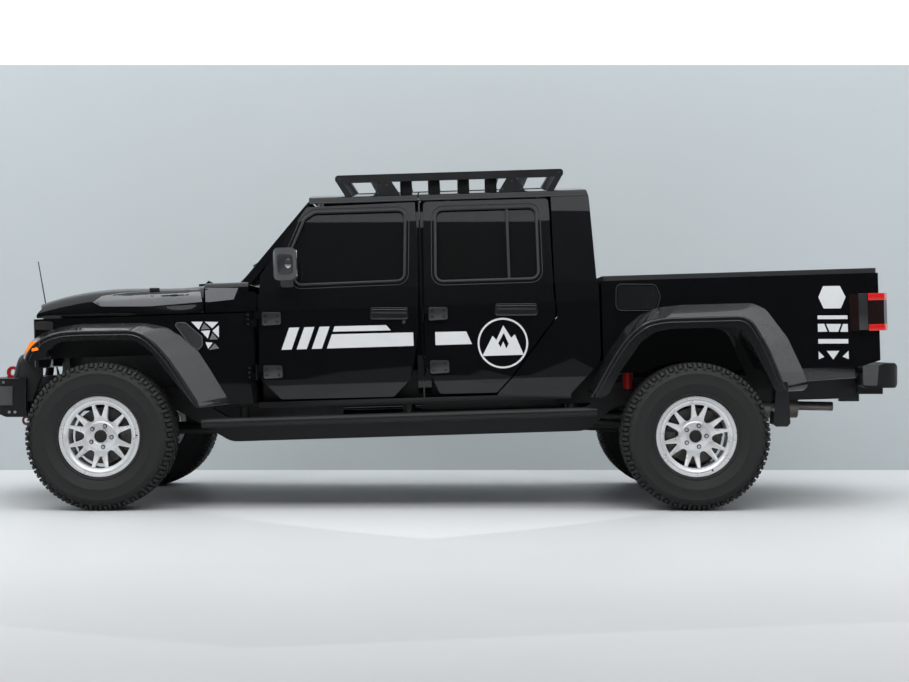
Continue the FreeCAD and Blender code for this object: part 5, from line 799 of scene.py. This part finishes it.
def dress_wings_and_hood():
    wing = ["front_wings"]
    stick("wing_vent", wing, [rounded(WING_VENT, 0.012)], "vent_mesh", slot="flare_plastic", out=0.003)
    rim = pipe([(x, WING_FACE, z) for x, z in rounded(VENT_RIM, 0.014)], 0.0035, cyclic=True)
    both("wing_vent_rim", rim, "chassis", "cap_grey")
    stick("facets_white", wing, FACETS_WHITE, "vinyl_white", cuts=0)
    stick("facets_grey", wing, FACETS_GREY, "vinyl_grey", cuts=0)
    leaf = fresh()
    for height in HINGE_HEIGHTS:
        for lift in (-0.028, 0.0, 0.028):
            bolt(leaf, -0.882, 0.806, height + lift)
    both("wing_hinge_bolts", leaf, "chassis", "satin_black_steel")
    both("wing_nose_mesh", slab(fresh(), rounded(WING_MESH, 0.006), 0.79, WING_FACE), "chassis", "mesh_black")
    stick("hood_stripe", ["hood"], [HOOD_BLADE], "vinyl_grey", "hood")
    stick("cowl_stripe", ["cowl"], [COWL_BLADE], "vinyl_grey")
    hood = surface_tree("hood")
    for label, side in SIDES:
        seat = hood.ray_cast(LEAN @ Vector((-0.361, side * 0.66, 3.0)), Vector((0, 0, -1)))[0]
        low, high = seat - Vector((0.03, 0.014, 0.006)), seat + Vector((0.03, 0.014, 0.016))
        latch = brick(fresh(), low, high, 0.006, 3)
        put("hood_latch_" + label, latch, "hood", "satin_black_steel", HERE)


def strip(path, low, high, wall=0.004):
    """A closed band along a path in the side view, between two distances from the middle plane."""
    bm = fresh()
    lines = (path, grown_path(path, wall))
    rows = [[bm.verts.new((p[0], y, p[1])) for p in line] for line in lines for y in (low, high)]
    inner_low, inner_high, outer_low, outer_high = rows
    loop = (inner_low, inner_high, outer_high, outer_low)
    for index in range(len(path) - 1):
        for first, second in zip(loop, loop[1:] + loop[:1]):
            bm.faces.new((first[index], second[index], second[index + 1], first[index + 1]))
    for end in (0, -1):
        bm.faces.new([row[end] for row in loop])
    return bm


def dress_wheel_houses():
    """Liners of the arches, the inner sills under the doors, nose covers and the bed's valance."""
    liner = strip(FRONT_LIP, 0.6, FLARE_REACH)
    roof = [p for p in FRONT_LIP if p[1] > 0.885]
    slab(liner, [(roof[0][0], HOUSE_ROOF)] + roof + [(roof[-1][0] - 0.01, HOUSE_ROOF)], 0.588, 0.594)
    liner = join(liner, strip(REAR_LIP, 0.77, FLARE_REACH))
    slab(liner, [(-3.8, 0.9), (-3.9, 0.86), (-4.03, 0.58), (-3.905, 0.58), (-3.8, 0.8)], 0.6, 0.605)
    both("wheel_liner", liner, "chassis", "mesh_black")
    sill = [(-0.945, 0.6), (-0.945, 0.745), (-3.02, 0.78), (-3.08, 0.86), (-3.12, 0.86), (-2.985, 0.6),
            (-2.96, 0.53), (-2.7, 0.53), (-2.68, 0.6)]
    both("inner_sill", slab(fresh(), sill, 0.664, 0.672), "chassis", "mesh_black")
    outline = [(0.3, 0.945), (0.5, 0.945), (0.545, 0.8), (0.56, 0.64), (0.47, 0.64), (0.405, 0.79),
               (0.4, 0.88), (0.31, 0.895)]
    cover = slab(fresh(), outline, 0.545, 0.575, bevel=0.003)
    brick(cover, (0.402, 0.57, 0.883), (0.49, 0.63, 0.927), 0.006, 2)
    brick(cover, (0.26, 0.6, 1.118), (0.372, 0.64, 1.152), 0.004)
    both("nose_cover", cover, "chassis", "mesh_black")
    valance = rounded([(-4.075, 0.716), (-4.5, 0.726), (-4.505, 0.634), (-4.15, 0.62)], 0.012)
    both("bed_valance", slab(fresh(), valance, 0.735, 0.755, bevel=0.004), "chassis", "flare_plastic")


LAMP_Y, LAMP_Z = 0.452, 1.04
SHACKLE_X, SHACKLE_Y, SHACKLE_Z = 0.58, 0.34, 0.497


def dress_nose():
    rim = ring((0.4475, LAMP_Y, LAMP_Z), 0.091, 0.006, steps=48, sides=3)
    both("lamp_rim", rim, "chassis", "grille_black")
    halo = ring((0.447, LAMP_Y, LAMP_Z), 0.066, 0.0045, steps=48)
    both("lamp_halo", halo, "chassis", "vinyl_white")
    for label, side in SIDES:
        core = fresh()
        for shift in (-0.024, 0.026):
            bowl = lathe([(0.0, 0.4445), (0.0168, 0.448), (0.024, 0.447), (0.024, 0.444)], 32, closed=False)
            place = Matrix.Translation((0, side * LAMP_Y + shift, LAMP_Z))
            core = join(core, turned(bowl, place @ Matrix.Rotation(-QUARTER_TURN, 4, "Z")))
        put("lamp_core_" + label, core, "chassis", "chrome")
    put("grille_mesh", brick(fresh(), (0.352, -0.345, 0.872), (0.356, 0.345, 1.096)), "chassis", "mesh_black")
    outline = [(0.849, 0.262), (0.849, 0.3), (0.7, 0.6015), (0.6, 0.6045), (0.6, 0.59), (0.665, 0.59),
               (0.83, 0.27)]
    guard = slab(fresh(), outline, 0.6, 0.715, "z", bevel=0.004)
    put("bumper_guards", doubled(guard), "chassis", "cap_grey", LEVEL)
    bolts = fresh()
    for x, z in ((0.655, 0.74), (0.585, 0.56), (0.62, 0.56)):
        bolt(bolts, x, 0.6, z, 0.0095, 0.006)
    put("bumper_bolts", doubled(bolts), "chassis", "chrome", LEVEL)
    shackle = ring((SHACKLE_X, SHACKLE_Y, SHACKLE_Z), 0.024, 0.0075, "y", sides=3)
    put("lower_shackles", doubled(shackle), "chassis", "red_paint", LEVEL)
    bracket = brick(fresh(), (SHACKLE_X - 0.02, SHACKLE_Y - 0.01, 0.512),
                    (SHACKLE_X + 0.02, SHACKLE_Y + 0.01, 0.533), 0.003)
    put("shackle_brackets", doubled(bracket), "chassis", "satin_black_steel", LEVEL)
    whip = rod(fresh(), (0.57, -0.55, 0.772), (0.683, -0.55, 1.546), 0.0062, 10, 0.5)
    rod(whip, (0.568, -0.55, 0.768), (0.575, -0.55, 0.815), 0.011, 16, 0.7)
    put("antenna", whip, "chassis", "satin_black_steel")
    wipers = fresh()
    for y in (-0.13, 0.42):
        rod(wipers, (-0.8, y, 1.322), (-0.855, y + 0.01, 1.372), 0.008, 10)
        rod(wipers, (-0.855, y + 0.01, 1.372), (-0.94, y - 0.2, 1.482), 0.0055, 8)
        rod(wipers, (-0.89, y + 0.08, 1.423), (-0.98, y - 0.42, 1.53), 0.005, 8)
    put("wipers", wipers, "chassis", "satin_black_steel")


# Bed, tail and rear bumper

LAMP_PLAN = [(-4.562, 0.812), (-4.656, 0.812), (-4.684, 0.77), (-4.684, 0.7165), (-4.64, 0.7165),
             (-4.64, 0.79), (-4.562, 0.8)]
BEZEL_PLAN = [(-4.505, 0.8125), (-4.558, 0.8125), (-4.558, 0.8), (-4.505, 0.8)]
FUEL_FLAP = [(-3.08, 1.226), (-3.3, 1.218), (-3.326, 1.15), (-3.3, 1.078), (-3.075, 1.086)]
BUMPER_CAP = [(-4.515, 0.59), (-4.515, 0.706), (-4.61, 0.706), (-4.596, 0.585)]


def dress_tail():
    stick("graphics_bed", ["bed_box"], BED_GRAPHICS, "vinyl_white", cuts=0)
    lamp = fresh()
    for low, high in ((1.092, 1.1345), (0.9115, 0.95)):
        slab(lamp, LAMP_PLAN, low, high, "z", bevel=0.002)
    both("tail_lamp_red", lamp, "chassis", "red_lens")
    bezel = slab(fresh(), BEZEL_PLAN, 0.918, 1.1345, "z", bevel=0.002)
    both("tail_lamp_bezel", bezel, "chassis", "hinge_satin")
    cap = [rounded(BUMPER_CAP, 0.01)]
    stick("bumper_cap", ["rear_bumper"], cap, "cap_grey", slot="satin_black_steel", out=0.003)
    flap = plate_on(surface_tree("bed_box"), [rounded(FUEL_FLAP, 0.028)], 1, out=0.004)
    put("fuel_flap", flap, "chassis", "flare_plastic", HERE)
    edge = rounded(grown(FUEL_FLAP, 0.008), 0.034)
    seam = pipe([(x, WING_FACE, z) for x, z in edge], 0.003, cyclic=True, sides=2)
    put("fuel_flap_seam", seam, "chassis", "seal")
    handle = brick(fresh(), (-4.6395, -0.1, 1.146), (-4.618, 0.1, 1.186), 0.006, 3)
    put("tailgate_handle", handle, "tailgate", "flare_plastic")
    pads = fresh()
    for step in range(5):
        x = -4.632 - 0.018 * step
        brick(pads, (x, 0.26, 0.8555), (x + 0.009, 0.74, 0.859), 0.001, 1)
    put("step_pads", doubled(pads), "chassis", "seal", LEVEL)
    hitch = brick(fresh(), (-4.66, -0.034, 0.604), (-4.54, 0.034, 0.674), 0.003)
    put("hitch_socket", hitch, "chassis", "satin_black_steel", LEVEL)


# Roof, rack and what hangs under the body

RACK_HALF, RACK_FACE = 0.56, 0.64
GUTTER_Y = 0.6655
COIL_Y, COIL_RADIUS, COIL_WIRE, COIL_LOW, COIL_TURNS, COIL_STEPS = 0.522, 0.05, 0.0075, 0.494, 5, 20
BOTTLE_X, BOTTLE_Y, BOTTLE_Z = -3.156, 0.486, 0.6


def coil(x, y, top):
    """A coil spring's wire, as points up round its axis."""
    rise = top - COIL_LOW - 2 * COIL_WIRE
    count = COIL_TURNS * COIL_STEPS
    path = []
    for step in range(count + 1):
        u, v = polar(COIL_RADIUS, 360 * step / COIL_STEPS)
        path.append((x + u, y + v, COIL_LOW + COIL_WIRE + rise * step / count))
    return pipe(path, COIL_WIRE, sides=2)


def dress_roof_and_underside():
    line = [(-1.26, GUTTER_Y, 1.779), (-1.9, GUTTER_Y, 1.7805), (-2.928, GUTTER_Y, 1.78)]
    put("gutter_lines", doubled(pipe(line, 0.005, sides=2)), "chassis", "seal")
    blocks = fresh()
    for x in (-1.838, -2.007, -2.185, -2.351):
        brick(blocks, (x - 0.036, RACK_HALF - 0.028, 1.818), (x + 0.036, RACK_HALF + 0.028, 1.906), 0.004)
    put("rack_blocks", doubled(blocks), "chassis", "satin_black_steel")
    bolts = fresh()
    places = [(x + shift, z) for x in (-1.723, -2.477)
              for shift, z in ((-0.055, 1.832), (0.055, 1.832), (0.0, 1.878))]
    for x, z in places + [(-1.44, 1.921), (-2.762, 1.921)]:
        bolt(bolts, x, RACK_FACE, z, 0.0065, 0.004)
    put("rack_bolts", doubled(bolts), "chassis", "chrome")
    coils = [coil(x, side * COIL_Y, top) for x, top in ((0.0, 0.636), (REAR_AXLE_X - AXLE_X, 0.6765))
             for name, side in SIDES]
    put("coils", join(*coils), "chassis", "chassis_steel", LEVEL, replaces=("coil_springs",))
    x, y, z = BOTTLE_X, BOTTLE_Y, BOTTLE_Z
    bottle = rod(fresh(), (x, y, z), (x, y, z + 0.12), 0.03, 28)
    put("damper_bottles", doubled(bottle), "chassis", "red_paint")
    caps = rod(fresh(), (x, y, z - 0.012), (x, y, z + 0.002), 0.0315, 28)
    rod(caps, (x, y, z + 0.118), (x, y, z + 0.136), 0.0315, 28)
    brick(caps, (x - 0.02, 0.44, z + 0.03), (x + 0.02, 0.47, z + 0.09), 0.004)
    put("damper_bottle_caps", doubled(caps), "chassis", "satin_black_steel")


# Seats: padded covers on the cushions and backs, swollen by cloth

SEAT_FLOOR = 0.6
FRONT_SEAT_X, FRONT_SEAT_RUN, FRONT_SEAT_RISE = -1.3427, 0.66, 0.99
BENCH_X, BENCH_RUN, BENCH_RISE = -2.897, 0.59, 0.86
VOXEL, PRESSURE, MOST_SWELL, FRAMES = 0.0075, 4.0, 0.014, 20
SEAT_CHANNELS = (0.255, 0.425)
BENCH_CHANNELS = (-0.38, -0.19, 0.0, 0.19, 0.38)


def evaluated(piece):
    return bpy.data.meshes.new_from_object(piece.evaluated_get(bpy.context.evaluated_depsgraph_get()))


def swell(bm):
    """A pad blown up by cloth pressure, its points held within a cap."""
    scene = bpy.context.scene
    pad = shown("pad", as_mesh("pad", bm))
    remesh = pad.modifiers.new("remesh", "REMESH")
    remesh.mode = "VOXEL"
    remesh.voxel_size = VOXEL
    start = evaluated(pad)
    pad.modifiers.clear()
    pad.data = start
    out = bmesh.new()
    cloth = pad.modifiers.new("cloth", "CLOTH")
    cloth.settings.use_pressure = True
    cloth.settings.uniform_pressure_force = PRESSURE
    cloth.settings.effector_weights.gravity = 0
    cloth.settings.quality = 3
    cloth.collision_settings.use_collision = False
    for number in range(1, FRAMES + 1):
        scene.frame_set(number)
    swollen = evaluated(pad)
    for rest, point in zip(start.vertices, swollen.vertices):
        shift = point.co - rest.co
        if shift.length > MOST_SWELL:
            point.co = rest.co + shift.normalized() * MOST_SWELL
    out.from_mesh(swollen)
    bpy.data.meshes.remove(swollen)
    scene.frame_set(1)
    bpy.data.objects.remove(pad)
    return out


def channels(bm, lines, width=0.012, depth=0.006):
    """Sewn channels: the pad is drawn in along planes across the vehicle."""
    bm.normal_update()
    for vert in bm.verts:
        for y in lines:
            near = abs(vert.co.y - y) / width
            if near < 1:
                vert.co -= vert.normal * depth * (1 - near ** 2)
    return bm


def pad_along(start, end, thick, low, high):
    """A flat block along a line in the side view, raised over it on its upper or front side."""
    start, end = Vector(start), Vector(end)
    along = (end - start).normalized()
    up = Vector((along.y, -along.x))
    up = up if up.y > abs(up.x) or up.x > 0 else -up
    block = [start + up * 0.012, end + up * 0.012, end - up * thick, start - up * thick]
    return slab(fresh(), block, low, high, bevel=0.018, segments=3)


def front_seat(u, v):
    return FRONT_SEAT_X - u * FRONT_SEAT_RUN, SEAT_FLOOR + v * FRONT_SEAT_RISE


def bench(u, v):
    return BENCH_X + u * BENCH_RUN, SEAT_FLOOR + v * BENCH_RISE


def dress_seats():
    shapes = {
        "cushion": (front_seat(0.02, 0.282), front_seat(0.6, 0.255), 0.06, 0.135, 0.545, SEAT_CHANNELS),
        "back": (front_seat(0.672, 0.32), front_seat(0.805, 0.8), 0.05, 0.135, 0.545, SEAT_CHANNELS),
        "headrest": (front_seat(0.835, 0.865), front_seat(0.862, 0.975), 0.05, 0.215, 0.465, ()),
        "bench_cushion": (bench(0.975, 0.335), bench(0.32, 0.305), 0.05, -0.57, 0.57, BENCH_CHANNELS),
        "bench_back": (bench(0.272, 0.36), bench(0.168, 0.96), 0.045, -0.57, 0.57, BENCH_CHANNELS),
    }
    for name, (start, end, thick, low, high, lines) in shapes.items():
        pad = channels(swell(pad_along(start, end, thick, low, high)), lines)
        if name.startswith("bench"):
            pieces = [put("seat_" + name, pad, "chassis", "seat_fabric", smooth=60)]
        else:
            pieces = both("seat_" + name, pad, "chassis", "seat_fabric", smooth=60)


def dress_dashboard():
    screen = brick(fresh(), (-1.166, -0.11, 1.12), (-1.148, 0.11, 1.235), 0.006, 3)
    put("centre_screen", screen, "chassis", "grille_black")
    vents = [ring((-1.158, y, 1.15), 0.042, 0.008) for y in (-0.56, -0.19, 0.19, 0.56)]
    put("dash_vents", join(*vents), "chassis", "chrome")
    lever = rod(fresh(), (-1.18, 0.0, 0.985), (-1.21, 0.0, 1.09), 0.009, 12)
    knob = Matrix.Translation((-1.212, 0.0, 1.1)) @ Matrix.Diagonal((0.022, 0.022, 0.026, 1))
    bmesh.ops.create_uvsphere(lever, u_segments=20, v_segments=10, radius=1, matrix=knob)
    put("gear_lever", lever, "chassis", "interior_plastic")


# Floor, wall, ceiling, light and camera

WALL_Y = -2.13
CEILING_Z = 3.11
CEILING_FRONT = 3.07
FLOOR_HALF = 30
CEILING_HALF = 12
LAMPS = {
    "ceiling": ((0, 0.5, 4.2), (11, 3.6), 320), "front_fill": ((0.5, 5.0, 5.9), (9, 2.2), 200),
    "back_fill": ((0, -7, 3.6), (9, 2.2), 60),
}
LAMP_AIM = Vector((0, 0, 0.8))
CAMERA_PLACE = (AXLE_X - 2.074, 10.8, 0.99)
CAMERA_LENS, CAMERA_SENSOR = 66.73, 36


def plane(name, finish, matrix):
    bm = fresh()
    bmesh.ops.create_grid(bm, x_segments=1, y_segments=1, size=1)
    turned(bm, matrix)
    sheet = shown(name, as_mesh(name, bm))
    sheet.data.materials.append(FINISH[finish])
    return sheet


def show_from_front(material):
    """Clear from behind and to shadow rays, so that the sheet blocks no view and no lamp."""
    tree = material.node_tree
    link = tree.links.new
    face = node(tree, "NewGeometry")
    path = node(tree, "LightPath")
    either = node(tree, "Math", operation="MAXIMUM")
    clear = node(tree, "BsdfTransparent")
    mix = node(tree, "MixShader")
    link(face.outputs["Backfacing"], either.inputs[0])
    link(path.outputs["Is Shadow Ray"], either.inputs[1])
    link(either.outputs["Value"], mix.inputs["Fac"])
    link(tree.nodes["Principled BSDF"].outputs["BSDF"], mix.inputs[1])
    link(clear.outputs["BSDF"], mix.inputs[2])
    link(mix.outputs["Shader"], tree.nodes["Material Output"].inputs["Surface"])


def build_studio():
    whole = Matrix.Diagonal((FLOOR_HALF, FLOOR_HALF, 1, 1))
    floor = plane("floor", "chalk", whole)
    upright = Matrix.Translation((0, WALL_Y, 0)) @ Matrix.Rotation(-QUARTER_TURN, 4, "X")
    wall = plane("backdrop", "wall", upright @ whole)
    middle, half = (WALL_Y + CEILING_FRONT) / 2, (CEILING_FRONT - WALL_Y) / 2
    facing_down = Matrix.Translation((0, middle, CEILING_Z)) @ Matrix.Rotation(math.pi, 4, "X")
    ceiling = plane("ceiling_panels", "panel", facing_down @ Matrix.Diagonal((CEILING_HALF, half, 1, 1)))
    show_from_front(FINISH["wall"])
    show_from_front(FINISH["panel"])


def build_world():
    """Dark at the height of the eye and bright above, with a pale ground for the camera."""
    world = bpy.data.worlds.new("studio")
    bpy.context.scene.world = world
    world.use_nodes = True
    tree = world.node_tree
    link = tree.links.new
    split = node(tree, "SeparateXYZ")
    link(node(tree, "TexCoord").outputs["Generated"], split.inputs["Vector"])
    ramp = node(tree, "ValToRGB")
    stops = ramp.color_ramp.elements
    stops[0].color = (0.02, 0.021, 0.022, 1)
    stops[1].position = 0.75
    stops[1].color = (0.85, 0.87, 0.88, 1)
    stops.new(0.5).color = (0.08, 0.083, 0.086, 1)
    link(split.outputs["Z"], ramp.inputs["Fac"])
    studio = tree.nodes["Background"]
    studio.inputs["Strength"].default_value = 0.75
    link(ramp.outputs["Color"], studio.inputs["Color"])
    pale = node(tree, "Background", Color=(0.55, 0.6, 0.63, 1), Strength=1.0)
    path = node(tree, "LightPath")
    seen = node(tree, "Math", operation="ADD", use_clamp=True)
    sheen = node(tree, "Math", operation="MULTIPLY_ADD")
    sheen.inputs[1].default_value = 0.05
    mix = node(tree, "MixShader")
    link(path.outputs["Is Glossy Ray"], sheen.inputs[0])
    link(path.outputs["Is Transmission Ray"], sheen.inputs[2])
    link(path.outputs["Is Camera Ray"], seen.inputs[0])
    link(sheen.outputs["Value"], seen.inputs[1])
    link(seen.outputs["Value"], mix.inputs["Fac"])
    link(studio.outputs["Background"], mix.inputs[1])
    link(pale.outputs["Background"], mix.inputs[2])
    link(mix.outputs["Shader"], tree.nodes["World Output"].inputs["Surface"])


def build_lamps():
    for name, (place, size, energy) in LAMPS.items():
        lamp = bpy.data.lights.new(name, "AREA")
        lamp.shape = "RECTANGLE"
        lamp.size, lamp.size_y = size
        lamp.energy = energy
        holder = shown(name, lamp)
        holder.location = place
        holder.rotation_euler = (LAMP_AIM - Vector(place)).to_track_quat("-Z", "Y").to_euler()


def build_camera():
    data = bpy.data.cameras.new("camera")
    data.sensor_width = CAMERA_SENSOR
    data.lens = CAMERA_LENS
    camera = shown("camera", data)
    camera.location = CAMERA_PLACE
    camera.rotation_euler = (QUARTER_TURN, 0, 2 * QUARTER_TURN)
    bpy.context.scene.camera = camera
    bpy.context.scene.view_settings.view_transform = "Standard"


dress_cad_nodes()
dress_wheels()
dress_doors()
dress_rear_doors()
dress_front_doors()
dress_flares()
dress_wings_and_hood()
dress_wheel_houses()
dress_nose()
dress_tail()
dress_roof_and_underside()
dress_seats()
dress_dashboard()
build_studio()
build_world()
build_lamps()
build_camera()
